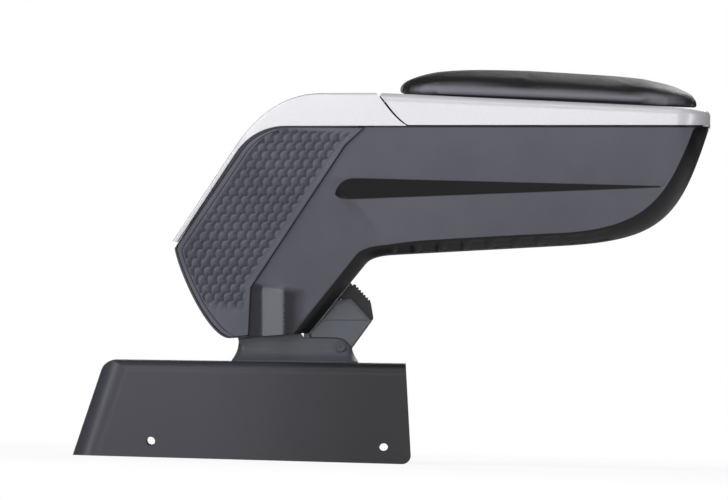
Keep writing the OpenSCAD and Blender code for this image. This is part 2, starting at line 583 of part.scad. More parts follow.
// Bracket: a folded sheet hood, closed at the rear and open below and in front
front_top = bracket_l - bracket_h * tan(front_lean);
module bracket_form(e, open) {
    r = bend_r - e;
    top = bracket_h - e;
    intersection() {
        // Seen from the side
        across(concat(open > 0 ? [[bracket_l + open, -open], [bracket_l + open, 2 * bracket_h]] :
            concat(arc([bracket_l - 6.5, 6.5], 6.5, -90, 0 - front_lean / 2, 5),
                [[front_top - bracket_h * tan(front_lean), 2 * bracket_h]]),
            [[-60, 2 * bracket_h], [-60, open > 0 ? -open : 0]]), -bracket_w, bracket_w);
        // Seen from the end, with the bends along the top plate
        translate([0, 0, top]) rotate([0, -plate_rise, 0]) translate([-80, 0, 0]) rotate([90, 0, 90])
            linear_extrude(bracket_l + 200) polygon(concat(
                arc([bracket_w / 2 - e - r, -r], r, 0, 90), arc([r + e - bracket_w / 2, -r], r, 90, 180),
                [[e - bracket_w / 2, -160], [bracket_w / 2 - e, -160]]));
        // Along the raked rear wall, with its two rounded corners
        rotate([0, rear_lean, 0]) translate([e, 0, -120]) linear_extrude(320)
            polygon(round_plan(0, bracket_l + 300, bracket_w / 2 - e, rear_corner_r - e, 1));
        // The bend between the rear wall and the top plate
        across(concat(rear_bend(e), [[bracket_l + 200, 3 * bracket_h], [bracket_l + 200, -100], [-100, -100]]),
            -bracket_w, bracket_w);
    }
}
// Arc that rounds the rear edge of the top plate, tangent to both
function rear_bend(e) = let (
    r = bend_r + 3 - e,
    n_top = dir_of(90 + plate_rise),
    n_rear = dir_of(180 - rear_lean),
    c = meet([0, bracket_h] - n_top * (bend_r + 3), dir_of(plate_rise), -n_rear * (bend_r + 3),
        dir_of(90 - rear_lean)))
    concat([c + n_rear * r - dir_of(90 - rear_lean) * 200], arc(c, r, 180 - rear_lean, 90 + plate_rise),
        [c + n_top * r + dir_of(plate_rise) * 600]);
// Crossing of two lines, each given by a point and a direction
function meet(p, d, q, e) = p + d * ((q[0] - p[0]) * e[1] - (q[1] - p[1]) * e[0]) / (d[0] * e[1] - d[1] * e[0]);
dock_x = -35.5;
dock_bolts_at = [for (x = [dock_x + 9, dock_x + dock_l - 12]) for (y = [-1, 1]) [x, y * (dock_w / 2 - 7)]];
module base_bracket() color("#26262b") difference() {
    translate([shift_x, 0, 0]) difference() {
        bracket_form(0, 0);
        bracket_form(sheet_t, 60);
        for (x = [hole_rear, hole_rear + hole_span]) cross_bar([x, hole_up], hole_d / 2, bracket_w * 2);
    }
    on_plate() for (p = dock_bolts_at) translate([p[0], p[1], -20])
        cylinder(h = 40, r = bolt_d / 2 + bolt_gap, $fn = 32);
}

// Steel dock plate on the bracket, with the lip that the release lever hooks under
strike_x = dock_x + dock_l;
module dock_plate() on_plate() color("#8c8c92") difference() {
    union() {
        translate([dock_x, -dock_w / 2, 0.02]) cube([dock_l, dock_w, dock_t]);
        across([[strike_x - 3, 0.1], [strike_x, 0.1], [strike_x, 6.2], [strike_x + 5, 6.2], [strike_x + 5, 8.6],
            [strike_x - 3, 8.6]], -lever_w, lever_w);
    }
    for (p = dock_bolts_at) translate([p[0], p[1], -2]) cylinder(h = 20, r = bolt_d / 2 + bolt_gap, $fn = 32);
}
bolt_head_h = 3.6;
module dock_bolts() on_plate() color("#a0a0a6") for (p = dock_bolts_at) translate([p[0], p[1], 0]) {
    translate([0, 0, -sheet_t - bolt_d * 0.8 - 1.5]) cylinder(h = sheet_t + bolt_d * 0.8 + 1.5 + dock_t + 1,
        r = bolt_d / 2, $fn = 32);
    translate([0, 0, dock_t + 0.02]) cylinder(h = bolt_head_h, r = bolt_d * 0.95, $fn = 6);
}
module dock_nuts() on_plate() color("#a0a0a6") for (p = dock_bolts_at)
    translate([p[0], p[1], -sheet_t - bolt_d * 0.8 - 0.05]) difference() {
        cylinder(h = bolt_d * 0.8, r = bolt_d * 0.95, $fn = 6);
        translate([0, 0, -1]) cylinder(h = bolt_d * 0.8 + 2, r = bolt_d / 2 + 0.02, $fn = 32);
    }

// Foot: flared neck on the bracket, with a forked tongue up to the tilt hub
lever_at = [34, 11.9];
flare_h = 14;
function flare(z) = pow(max(0, 1 - max(0, z - 1) / flare_h), 2.2);
function foot_ring(z) = [for (p = round_plan(-neck_l / 2 - (foot_l - neck_l) / 2 * flare(z),
    neck_l / 2 + (foot_l - neck_l) / 2 * flare(z), neck_w / 2 + (foot_w - neck_w) / 2 * flare(z),
    5 + 4 * flare(z), 5 + 4 * flare(z), 5)) [p[0], p[1], z]];
foot_top = [[-60, neck_h - 0.8], [-30, neck_h], [30, neck_h], [36, neck_h - 1.2], [43.2, neck_h - 7.8],
    [60, 9]];
module foot() on_plate() color("#595e66") difference() {
    union() {
        intersection() {
            loft([for (z = [24, 14, 10, 7, 4.5, 2.5, 1, 0.02]) foot_ring(z)]);
            across(concat([[-60, -5]], foot_top, [[60, -5]]), -60, 60);
        }
        difference() {
            across([[-41.5, 12], [8, 12], [6, neck_h + 1], pivot + [hub_d / 2 - 2, 6], pivot + [0, 8],
                pivot + [-hub_d / 2 + 0.6, -4], [-48, 34]], -neck_w / 2, neck_w / 2);
            // Fork between the two cheeks
            across([[-60, neck_h + 6], [20, neck_h + 6], [20, 80], [-60, 80]], -neck_w / 2 + 10, neck_w / 2 - 10);
        }
        cross_bar(pivot, hub_d / 2, neck_w, 64);
    }
    cross_bar(pivot, pivot_d / 2 + run_gap, 200);
    // Hollow over the dock plate and its bolts
    translate([dock_x - 1, -dock_w / 2 - 1, -1])
        cube([dock_l + 1.5, dock_w + 2, dock_t + bolt_head_h + 2]);
    lever_slot();
    cross_bar(lever_at, lever_pin_d / 2 + 0.01, 200);
}
module lever_slot() {
    translate([strike_x - 4, -lever_w - 0.6, -1]) cube([12, 2 * lever_w + 1.2, 10.5]);
    translate([17.5, -lever_w / 2 - 0.5, -1]) cube([23, lever_w + 1, 26]);
}
module tilt_pin() on_plate() color("#b4b4ba") cross_bar(pivot, pivot_d / 2,
    2 * (half_w(pivot_up - pivot_d / 2) - shell_t - seat_gap), 48);
module friction_washers() on_plate() color("#303034") for (s = [-1, 1])
    translate([pivot[0], s * (neck_w / 2 + 0.1 + washer_t / 2), pivot[1]]) rotate([90, 0, 0]) difference() {
        cylinder(h = washer_t, r = pivot_d / 2 + 5, center = true, $fn = 48);
        cylinder(h = washer_t + 2, r = pivot_d / 2 + 0.02, center = true, $fn = 48);
    }
module rest_buffers() on_plate() color("#18181a") for (s = [-1, 1])
    translate([toe[0] - 0.9, s * neck_w * 0.33, neck_h + 0.02])
        cylinder(h = toe[1] + toe_rise - neck_h - seat_gap, r = buffer_r, $fn = 32);

// Release housing: hexagonal cheeks on the front of the foot, open for the button
face_mid = [50, 38.8];
push_angle = 43.5;
hex_pts = [[13, neck_h + 0.3], [32.6, 45.6], [42, 47.3], [58.1, 30.3], [43.8, neck_h - 7.2],
    [36.4, neck_h - 0.8], [30.2, neck_h + 0.3]];
// Frame of the button: x along the oblique face, z outward from it
module on_face() {
    translate([face_mid[0], 0, face_mid[1]]) rotate([0, -(push_angle - 90), 0]) mirror([1, 0, 0]) children();
}
button_floor = -12;
housing_floor = -22;
button_p = [-10.1, 9.2];
module release_housing() on_plate() color("#5e636b") difference() {
    across(hex_pts, -housing_w / 2, housing_w / 2);
    for (s = [-1, 1]) translate([0, s * (housing_w / 2 + 0.4), 0]) rotate([90, 0, 0])
        linear_extrude(2, center = true) offset(delta = -3.2) polygon(hex_pts);
    on_face() translate([button_p[0] - 0.4, -button_w / 2 - 0.4, housing_floor])
        cube([button_p[1] - button_p[0] + 0.8, button_w + 0.8, 60]);
    on_face() translate([0, 0, -40]) cylinder(h = 40, r = rod_d / 2 + 0.3, $fn = 32);
    lever_slot();
}
rod_d = 5.6;
rod_end = -29.6;
rod_tip = 0.8;
// The button's head stays clear of the cheeks when it is pressed home
head_low = button_travel + 0.4;
module release_button() on_plate() color("#2e2e31") on_face() {
    difference() {
        across([[button_p[0], button_floor], [button_p[1], button_floor], [button_p[1], head_low],
            [16.5, head_low + 0.5], [19.2, 8], [18.2, 9.8], [-1.4, 9.5], [button_p[0] - 0.6, 3.6],
            [button_p[0], 2]], -button_w / 2, button_w / 2);
        // Grip grooves across the thumb face
        for (i = [0:5]) translate([1 + i * 2.8, 0, 10]) cube([1.2, button_w - 5, 1.6], center = true);
    }
    translate([0, 0, rod_end + rod_tip])
        cylinder(h = button_floor - rod_end - rod_tip + 1, r = rod_d / 2, $fn = 32);
    translate([0, 0, rod_end]) cylinder(h = rod_tip + 0.01, r1 = rod_d / 2 - rod_tip, r2 = rod_d / 2, $fn = 32);
}
module button_spring() on_plate() color("#b4b4ba") on_face() translate([0, 0, housing_floor + 0.1])
    coil(4.4, 1, button_floor - housing_floor - 0.2, 4);
module lever_pin() on_plate() color("#6a6f78") cross_bar(lever_at, lever_pin_d / 2,
    neck_w + (foot_w - neck_w) * flare(lever_at[1]) + 0.6, 32);

// Release lever: its upper arm lies under the button rod, its hook under the dock lip
lever_face = rod_end - 0.65;
module release_lever() on_plate() color("#77777d") difference() {
    union() {
        cross_bar(lever_at, lever_pin_d / 2 + 2.5, lever_w, 32);
        on_face() across([[-9, -34.5], [-9, -26], [-5, lever_face], [3.2, lever_face], [3.6, -34], [-2, -35.5]],
            -lever_w / 2, lever_w / 2);
        across([[lever_at[0] - 4, 12], [lever_at[0] + 4.6, 11], [lever_at[0] + 2, 3], [strike_x + 3, 3],
            [strike_x + 3, 5.6], [lever_at[0] - 3.6, 5.9]], -lever_w / 2, lever_w / 2);
    }
    cross_bar(lever_at, lever_pin_d / 2 + run_gap, 100, 32);
}

base_bracket();
dock_plate();
dock_bolts();
dock_nuts();
foot();
tilt_pin();
friction_washers();
rest_buffers();
release_housing();
lever_pin();
button_spring();
release_button();
release_lever();
arm_shell();
tilt_bushes();
left_side_panel();
right_side_panel();
rear_trim();
storage_bin();
bin_mat();
hinge_block();
lid_hinge_pins();
lid_carrier();
lid_frame();
left_slide_rail();
right_slide_rail();
pad_board();
arm_pad();
pad_screws();
catch_magnet();
strike_plate();
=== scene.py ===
import json
import math

import bpy
import bmesh
import numpy as np
from mathutils import Matrix, Vector


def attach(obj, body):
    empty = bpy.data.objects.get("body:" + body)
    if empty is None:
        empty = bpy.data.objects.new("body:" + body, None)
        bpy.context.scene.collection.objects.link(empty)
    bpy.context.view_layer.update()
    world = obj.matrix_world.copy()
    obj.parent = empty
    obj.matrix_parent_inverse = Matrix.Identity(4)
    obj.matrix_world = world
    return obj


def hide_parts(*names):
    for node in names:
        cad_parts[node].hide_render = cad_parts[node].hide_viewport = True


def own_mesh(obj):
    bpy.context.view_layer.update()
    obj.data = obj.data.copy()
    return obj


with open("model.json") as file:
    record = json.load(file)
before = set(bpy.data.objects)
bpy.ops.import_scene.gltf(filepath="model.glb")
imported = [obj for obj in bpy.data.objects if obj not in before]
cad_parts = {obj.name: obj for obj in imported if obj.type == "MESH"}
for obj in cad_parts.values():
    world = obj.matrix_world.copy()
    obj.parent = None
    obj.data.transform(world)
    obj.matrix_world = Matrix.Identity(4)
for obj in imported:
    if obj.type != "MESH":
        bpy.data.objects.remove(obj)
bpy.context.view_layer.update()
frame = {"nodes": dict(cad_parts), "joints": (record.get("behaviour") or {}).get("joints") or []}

# Studio: the armrest stands on a wide pale floor and is seen level from its right side, from far
# away through a long lens, so that both walls of the bracket line up. The picture is tipped until
# the lid's seam lies level, which leaves the bracket running a little downhill.
PHOTO_SIZE = (728, 500)
MM_PER_PIXEL = 0.75
CAMERA_DISTANCE, CAMERA_REACH = 17.0, 60.0
ARM_ORIGIN_PIXEL = (295.8, 361.5)
PIVOT = (-40.5, 55.5)
NEAR_SIDE = 0.062
joints = {joint["name"]: joint for joint in frame["joints"]}
slide_axis = joints["lid_slide"]["axis"]
pivot_place = joints["arm_tilt"]["pos_m"]


def on_arm(x, y, z):
    """A place on the arm, in millimetres ahead of, beside and above the middle of the foot, in metres."""
    dx, dz = (x - PIVOT[0]) / 1000, (z - PIVOT[1]) / 1000
    return Vector((pivot_place[0] + dx * slide_axis[0] - dz * slide_axis[2], y / 1000,
                   pivot_place[2] + dx * slide_axis[2] + dz * slide_axis[0]))


def linear(code):
    """A colour written as sRGB hex, as the linear values that a shader takes."""
    parts = [int(code[i:i + 2], 16) / 255 for i in (1, 3, 5)]
    return [c / 12.92 if c < 0.04045 else ((c + 0.055) / 1.055) ** 2.4 for c in parts] + [1.0]


def add(material, kind, settings={}, links={}):
    """Adds a shader node: settings are its own fields, links its inputs, as values or as outputs."""
    node = material.node_tree.nodes.new("ShaderNode" + kind)
    for field, value in settings.items():
        setattr(node, field, value)
    for name, value in links.items():
        if isinstance(value, bpy.types.NodeSocket):
            material.node_tree.links.new(value, node.inputs[name])
        else:
            node.inputs[name].default_value = value
    return node


middle_x = (PHOTO_SIZE[0] / 2 - ARM_ORIGIN_PIXEL[0]) * MM_PER_PIXEL
middle_z = (ARM_ORIGIN_PIXEL[1] - PHOTO_SIZE[1] / 2) * MM_PER_PIXEL
aim = on_arm(middle_x, 0, middle_z)
camera = bpy.data.objects.new("camera", bpy.data.cameras.new("camera"))
bpy.context.scene.collection.objects.link(camera)
camera.data.lens = camera.data.sensor_width * CAMERA_DISTANCE / (PHOTO_SIZE[0] * MM_PER_PIXEL / 1000)
camera.data.clip_end = CAMERA_REACH
right = Vector(slide_axis)
up = Vector((-slide_axis[2], 0, slide_axis[0]))
turn = Matrix((right, up, right.cross(up))).transposed()
camera.matrix_world = Matrix.Translation(aim - Vector((0, CAMERA_DISTANCE + NEAR_SIDE, 0))) @ turn.to_4x4()
bpy.context.scene.camera = camera
bpy.context.scene.view_settings.view_transform = "Standard"

world = bpy.data.worlds.new("studio")
world.use_nodes = True
bpy.context.scene.world = world
world.node_tree.nodes.clear()
ray = add(world, "LightPath")
shows = add(world, "Math", {"operation": "MAXIMUM"},
            {0: ray.outputs["Is Camera Ray"], 1: ray.outputs["Is Transmission Ray"]})
ROOM_LEVEL, MIRROR_LEVEL = 0.16, 0.07
lit = add(world, "Background", {}, {"Color": linear("#ffffff"), "Strength": ROOM_LEVEL})
mirrored = add(world, "Background", {}, {"Color": linear("#ffffff"), "Strength": MIRROR_LEVEL})
white = add(world, "Background", {}, {"Color": linear("#ffffff"), "Strength": 1.0})
glossy = add(world, "MixShader", {},
             {0: ray.outputs["Is Glossy Ray"], 1: lit.outputs[0], 2: mirrored.outputs[0]})
seen = add(world, "MixShader", {}, {0: shows.outputs[0], 1: glossy.outputs[0], 2: white.outputs[0]})
add(world, "OutputWorld", {}, {"Surface": seen.outputs[0]})

# Soft boxes round the armrest: their places and sizes in metres, and their powers in watts
LAMP_AIM = Vector((0, 0, 0.16))
for name, place, size, power in (
        ("key", (-1.0, -1.7, 1.55), (1.2, 0.9), 25.0),
        ("low front", (-0.4, -3.2, 0.6), (1.8, 0.7), 21.0),
        ("nose", (1.7, -1.3, 0.6), (0.4, 1.2), 7.5),
        ("rear strip", (-2.2, -1.1, 0.7), (0.5, 1.4), 17.0),
        ("top strip", (-0.2, -1.0, 1.9), (2.0, 0.25), 6.0),
        ("back", (0.9, 1.7, 1.55), (1.2, 0.9), 24.0),
        ("low back", (0.0, 3.2, 0.5), (2.4, 0.9), 16.0)):
    lamp = bpy.data.objects.new(name, bpy.data.lights.new(name, "AREA"))
    bpy.context.scene.collection.objects.link(lamp)
    lamp.data.shape = "RECTANGLE"
    lamp.data.size, lamp.data.size_y = size
    lamp.data.energy = power
    lamp.location = place
    lamp.rotation_mode = "QUATERNION"
    lamp.rotation_quaternion = (LAMP_AIM - Vector(place)).to_track_quat("-Z", "Y")
    lamp.visible_camera = False

floor_mesh = bpy.data.meshes.new("floor")
FLOOR_REACH, FLOOR_DROP = 6.0, 0.0002
floor_corners = [(x * FLOOR_REACH, y * FLOOR_REACH, -FLOOR_DROP)
                 for x, y in ((-1, -1), (1, -1), (1, 1), (-1, 1))]
floor_mesh.from_pydata(floor_corners, [], [(0, 1, 2, 3)])
floor = bpy.data.objects.new("floor", floor_mesh)
bpy.context.scene.collection.objects.link(floor)
paper = bpy.data.materials.new("white_backdrop_paper")
paper.use_nodes = True
paper.node_tree.nodes.clear()
paper_ray = add(paper, "LightPath")
paper_matt = add(paper, "BsdfDiffuse", {}, {"Color": linear("#f0f0f0")})
paper_glow = add(paper, "Emission", {}, {"Color": linear("#ffffff"), "Strength": 1.0})
PAPER_GLOW_SHARE = 0.86
paper_share = add(paper, "Math", {"operation": "MULTIPLY"},
                  {0: paper_ray.outputs["Is Camera Ray"], 1: PAPER_GLOW_SHARE})
paper_mix = add(paper, "MixShader", {},
                {0: paper_share.outputs[0], 1: paper_matt.outputs[0], 2: paper_glow.outputs[0]})
# Towards its edge the paper fades into the white room, so that no horizon shows
FADE_FROM, FADE_TO = 0.5, 1.3
paper_place = add(paper, "TexCoord").outputs["Object"]
paper_radius = add(paper, "VectorMath", {"operation": "LENGTH"}, {0: paper_place}).outputs["Value"]
paper_fade = add(paper, "MapRange", {"interpolation_type": "SMOOTHSTEP"},
                 {"Value": paper_radius, "From Min": FADE_FROM, "From Max": FADE_TO}).outputs[0]
paper_clear = add(paper, "BsdfTransparent")
paper_edge = add(paper, "MixShader", {}, {0: paper_fade, 1: paper_mix.outputs[0], 2: paper_clear.outputs[0]})
add(paper, "OutputMaterial", {}, {"Surface": paper_edge.outputs[0]})
floor_mesh.materials.append(paper)


# Floor bracket: mild steel sheet of 2 mm, folded to a hood and powder coated satin black.
# The coat flows into a faint orange peel and rounds off the edges a little.
def new_material(name, base, roughness, specular=0.5, metallic=0.0):
    """An empty material with a Principled shader, and the output that gives places on the piece."""
    material = bpy.data.materials.new(name)
    material.use_nodes = True
    material.node_tree.nodes.clear()
    shader = add(material, "BsdfPrincipled", {}, {"Base Color": linear(base), "Roughness": roughness,
                                                  "Specular IOR Level": specular, "Metallic": metallic})
    add(material, "OutputMaterial", {}, {"Surface": shader.outputs[0]})
    return material, shader, add(material, "TexCoord").outputs["Object"]


def feed(shader, links):
    """Links outputs of other nodes to a shader's inputs."""
    for name, output in links.items():
        shader.id_data.links.new(output, shader.inputs[name])


def powder_coat():
    """Satin black powder: colour clouds over 40 mm, and an orange peel of about 1.6 mm."""
    material, shader, place = new_material("powder_coated_steel", "#17171b", 0.42, 0.4)
    clouds = add(material, "TexNoise", {}, {"Vector": place, "Scale": 1 / 0.04, "Detail": 2.0})
    tint = add(material, "ValToRGB", {}, {"Fac": clouds.outputs[0]})
    tint.color_ramp.elements[0].color = linear("#131317")
    tint.color_ramp.elements[1].color = linear("#1e1e23")
    # Painted light: the coat is drawn greyer towards the bracket's raked rear, as if more light fell there
    along = add(material, "SeparateXYZ", {}, {0: place}).outputs["X"]
    painted_rear_light = add(material, "MapRange", {"interpolation_type": "SMOOTHSTEP"},
                   {"Value": along, "From Min": 0.0, "From Max": -0.16})
    tone = add(material, "MixRGB", {},
               {"Fac": painted_rear_light.outputs[0], "Color1": tint.outputs[0], "Color2": linear("#34343d")})
    peel = add(material, "TexNoise", {}, {"Vector": place, "Scale": 1 / 0.0016, "Detail": 1.0})
    bump = add(material, "Bump", {}, {"Height": peel.outputs[0], "Strength": 0.25, "Distance": 0.00008})
    gloss = add(material, "MapRange", {}, {"Value": clouds.outputs[0], "To Min": 0.38, "To Max": 0.44})
    feed(shader, {"Base Color": tone.outputs[0], "Normal": bump.outputs[0], "Roughness": gloss.outputs[0]})
    return material


def dress(names, material, edge_mm=0.3, soft_angle=30):
    """Gives CAD nodes a material, joins their faces, and breaks their sharp edges by a small round."""
    for name in names:
        node = frame["nodes"][name]
        node.data.materials.clear()
        node.data.materials.append(material)
        node.data.shade_smooth()
        weld = node.modifiers.new("join faces", "WELD")
        weld.merge_threshold = 0.000002
        if edge_mm:
            rounding = node.modifiers.new("edge round", "BEVEL")
            rounding.width = edge_mm / 1000
            rounding.segments = 2
            rounding.limit_method = "ANGLE"
            rounding.angle_limit = math.radians(soft_angle)
            rounding.use_clamp_overlap = True
        shading = node.modifiers.new("even shading", "WEIGHTED_NORMAL")
        shading.keep_sharp = False


black_powder = powder_coat()
dress(["base_bracket"], black_powder, 0.35)


# Dock plate, bolts, nuts, pins, lever, spring and screws: steel, cut or turned and bright zinc plated,
# which gives a cool grey metal with a light blotchy gloss.
def zinc_plate():
    """Zinc plating: blotches of tone and gloss over 5 mm."""
    material, shader, place = new_material("zinc_plated_steel", "#b7babf", 0.34, 0.5, 1.0)
    blotches = add(material, "TexNoise", {}, {"Vector": place, "Scale": 1 / 0.005, "Detail": 4.0})
    gloss = add(material, "MapRange", {}, {"Value": blotches.outputs[0], "To Min": 0.26, "To Max": 0.44})
    tint = add(material, "ValToRGB", {}, {"Fac": blotches.outputs[0]})
    tint.color_ramp.elements[0].color = linear("#aaadb2")
    tint.color_ramp.elements[1].color = linear("#c4c6ca")
    feed(shader, {"Base Color": tint.outputs[0], "Roughness": gloss.outputs[0]})
    return material


zinc = zinc_plate()
dress(["dock_plate", "dock_bolts", "dock_nuts", "release_lever", "tilt_pin", "lever_pin", "lid_hinge_pins",
       "pad_screws", "catch_magnet", "strike_plate"], zinc, 0.15)


# Foot: ABS, moulded in one piece with the tongue that carries the tilt pin, and held on the dock plate
# by the release lever. The tool was spark eroded, which leaves a fine even grain that scatters the
# light and keeps the gloss low.
def moulded(name, base, other, roughness, specular=0.35, grain_mm=0.9, grain_depth=0.05):
    """Grained plastic: two close tones that drift over 30 mm, and a grain drawn coarse enough to show."""
    material, shader, place = new_material(name, base, roughness, specular)
    drift = add(material, "TexNoise", {}, {"Vector": place, "Scale": 1 / 0.03, "Detail": 3.0})
    tint = add(material, "ValToRGB", {}, {"Fac": drift.outputs[0]})
    tint.color_ramp.elements[0].position, tint.color_ramp.elements[1].position = 0.3, 0.7
    tint.color_ramp.elements[0].color = linear(base)
    tint.color_ramp.elements[1].color = linear(other)
    grain = add(material, "TexNoise", {}, {"Vector": place, "Scale": 1000 / grain_mm, "Detail": 2.0})
    bump = add(material, "Bump", {},
               {"Height": grain.outputs[0], "Strength": 0.5, "Distance": grain_depth / 1000})
    gloss = add(material, "MapRange", {}, {"Value": grain.outputs[0], "To Min": roughness - 0.05,
                                           "To Max": roughness + 0.05})
    feed(shader, {"Base Color": tint.outputs[0], "Normal": bump.outputs[0], "Roughness": gloss.outputs[0]})
    return material


foot_plastic = moulded("grained_abs_foot", "#3c3f46", "#42454c", 0.42)
dress(["foot"], foot_plastic, 0.5)


# Bushes, washers, hinge block, lid carrier, slide rails and pad board: black nylon, injection moulded
# because it slides well and wears little. It is nearly black, with a low even gloss.
nylon = moulded("black_nylon", "#232326", "#29292c", 0.45)
dress(["tilt_bushes", "friction_washers", "hinge_block", "lid_carrier", "left_slide_rail", "right_slide_rail",
       "pad_board"], nylon, 0.2)


# Rest buffers under the leg's front: black rubber, moulded and pushed into the foot. Rubber swallows
# nearly all light, so they look dull and flat.
rubber = moulded("black_rubber", "#18181a", "#1d1d1f", 0.75, 0.2)
dress(["rest_buffers"], rubber, 0.3)


# Storage bin: black ABS, moulded in one piece and set into the box from above. Its grain is the same
# as the foot's, a little duller.
bin_plastic = moulded("grained_black_abs", "#2a2a2d", "#2f2f32", 0.5)
dress(["storage_bin"], bin_plastic, 0.3)


# Arm shell: one ABS moulding of 2.6 mm wall, from the open foot of the leg round the elbow to the nose.
# Its sides taper below the box, and pockets lie along its rounded lower edge. It is grained dark grey.
# Shade is painted on it nearly black, on the ledge, the edges and the underside, and drawn a little glossier
# there.
ARM_WIDTH, LEG_WIDTH, LEG_LOW, WAIST, WAIST_SOFT = 124.0, 68.0, 17.3, 140.0, 30.0
RIM, REACH, WALL, EDGE_R, NOSE_R, LEDGE_IN = 176.6, 310.0, 2.6, 10.0, 25.0, 6.0
DRAFT = (ARM_WIDTH - LEG_WIDTH) / 2 / (WAIST - LEG_LOW)


def vec(*values):
    """A place or a direction in the side view: ahead, and up."""
    return np.array(values, float)


def heading(degrees):
    """The direction at an angle above straight ahead."""
    return vec(math.cos(math.radians(degrees)), math.sin(math.radians(degrees)))


def mix(a, b, t):
    """The value or place a share t of the way from a to b."""
    return a + (b - a) * t


def ease(a, b, x):
    """A soft step from 0 at a to 1 at b."""
    t = min(1.0, max(0.0, (x - a) / (b - a)))
    return t * t * (3 - 2 * t)


def bezier(p, t):
    """A place on the curve of four control points."""
    return p[0] * (1 - t) ** 3 + 3 * p[1] * t * (1 - t) ** 2 + 3 * p[2] * t * t * (1 - t) + p[3] * t ** 3


def bezier_heading(p, t):
    """The direction in which that curve runs."""
    d = (p[1] - p[0]) * (1 - t) ** 2 + 2 * (p[2] - p[1]) * t * (1 - t) + (p[3] - p[2]) * t * t
    return d / np.linalg.norm(d)


def straight(a, b):
    """The four control points of a straight line."""
    return [a, mix(a, b, 1 / 3), mix(a, b, 2 / 3), b]


def half_width(z):
    """Half the arm's width at a height: full in the box, tapering evenly below the waist."""
    d = WAIST - z
    ramp = 0.0 if d < -WAIST_SOFT else d if d > WAIST_SOFT else (d + WAIST_SOFT) ** 2 / (4 * WAIST_SOFT)
    return ARM_WIDTH / 2 - DRAFT * ramp


spine = heading(56.5)
shoulder = vec(-43.5, RIM - 18.4)
crown_end = vec(-8, RIM)
tip_low = shoulder - spine * 84
elbow_a, elbow_b = vec(52.5, 73), vec(74, 79.8)
belly = heading(3.1)
elbow_c, belly_end = elbow_b + belly * 22, elbow_b + belly * (REACH - 184)
nose_a, front_lean = vec(REACH, RIM - 3), heading(72)
toe, leg_foot = vec(10.5, 21.4), vec(10.5, 21)
leg_heading = (elbow_a - leg_foot) / np.linalg.norm(elbow_a - leg_foot)
OPEN_X = 70.0
back_crown = [shoulder, shoulder + spine * 12, crown_end - vec(16, 0), crown_end]
front_elbow = [elbow_a, elbow_a + leg_heading * 6, elbow_b - belly * 10, elbow_b]
belly_nose = [belly_end, belly_end + belly * 76, nose_a - front_lean * 70, nose_a]
heel = [tip_low + vec(-1.2, -3.5), tip_low + vec(1.8, -21), vec(-66, LEG_LOW), vec(-50, LEG_LOW)]


def leg_end(t):
    """The open lower end of the leg in the side view, round its heel and forwards to its toe."""
    return bezier(heel, t / 0.6) if t < 0.6 else mix(heel[3], toe, (t - 0.6) / 0.4)


def ledge_top(x):
    """Height of the ledge's upper edge, which meets the lower one towards the nose."""
    return mix(RIM - 39.5, RIM - 45, (x - 64) / (REACH - 98))


def ledge_low(x):
    """Height of the ledge's lower edge."""
    return mix(RIM - 54, RIM - 46, (x - 64) / (REACH - 98))


def ledge_depth(x):
    """How far the wall steps in at the ledge."""
    return LEDGE_IN * ease(24, 40, x) * max(0.0, (REACH - 20 - x) / (REACH - 20))


# Depth of the leg's lower end, as pairs of a place ahead of the foot's middle and the depth there
SCOOP = ((-36.0, 0.0), (-25.6, 2.0), (-24.4, 2.0), (-10.4, -1.8),
         (-9.2, -1.6), (-5.0, 2.2), (4.0, 1.4), (16.0, 0.0))
SCOOP_TOP, SCOOP_MIDDLE, SCOOP_FALL = 55.9, -24.6, 0.13


def scoop_top(x):
    """Height of the scoop's upper edge, which falls a little forwards."""
    return SCOOP_TOP - SCOOP_FALL * (x - SCOOP_MIDDLE)


def scoop(x, z):
    """Depth of the leg's lower end: a smooth strip, a facet that comes forward, then a hollow."""
    top = scoop_top(x)
    low = 1 - (ease(top - 1.0, top, z) if x < -9.8 else ease(top - 9, top + 3, z))
    for (xa, a), (xb, b) in zip(SCOOP, SCOOP[1:]):
        if xa <= x < xb:
            return low * mix(a, b, (x - xa) / (xb - xa))
    return 0.0


def hollow_painted_shade(x, z):
    """How far a place lies inside the painted shade of the strip and the hollow beside the facet, which fades
    out forwards and up.
    """
    top = scoop_top(x)
    strip = min(x + 36.5, -25.2 - x, top + 2 - z) * 0.3 - 0.12
    hollow = min(x + 9.4, 1.0, (6 - x) * 0.05, (top + 2 - z) * 0.1) - 0.25
    return min(max(strip, hollow), 0.16)


def facet(x, z):
    """How far a place lies inside the facet, where a highlight is painted, in millimetres."""
    return min(x + 25.2, -9.9 - x, scoop_top(x) - z)


POCKET_FIRST, POCKET_LAST, POCKET_PITCH, POCKET_LENGTH, POCKET_DEPTH = 74.0, 240.0, 18.6, 14.0, 1.3


def pocket(x, q):
    """One of the pockets along the rounded lower edge; q runs from 0 to 1 round the edge."""
    if not POCKET_FIRST < x < POCKET_LAST:
        return 0.0
    along = (x - POCKET_FIRST) % POCKET_PITCH
    across = ease(0.12, 0.2, q) * (1 - ease(0.62, 0.7, q))
    return POCKET_DEPTH * ease(0, 1.2, along) * (1 - ease(POCKET_LENGTH - 1.2, POCKET_LENGTH, along)) * across


UPPER_ROWS, LEDGE_ROWS, LOWER_ROWS, BEND_ROWS = 22, 10, 26, 14
EDGE_FORM = 1.5
# Stands for a place well inside a painted area, and its negative for one well outside
WELL_IN = 5.0
LEDGE_REAR, LEDGE_REAR_LONG, LEDGE_END = 46.0, 17.5, 274.0


def ledge_painted_shade(x, z):
    """How far a place lies inside the shade painted on the ledge, in millimetres; its rear end is rounded."""
    low, high = ledge_low(x), ledge_top(x)
    rear = max(0.0, (LEDGE_REAR - x) / LEDGE_REAR_LONG)
    if rear >= 1:
        return -WELL_IN
    high, low = low + (high - low) * math.sqrt(1 - rear ** 2.4), low + (high - low) * 0.3 * rear ** 5
    return min(high - z, z - low, LEDGE_END - x)


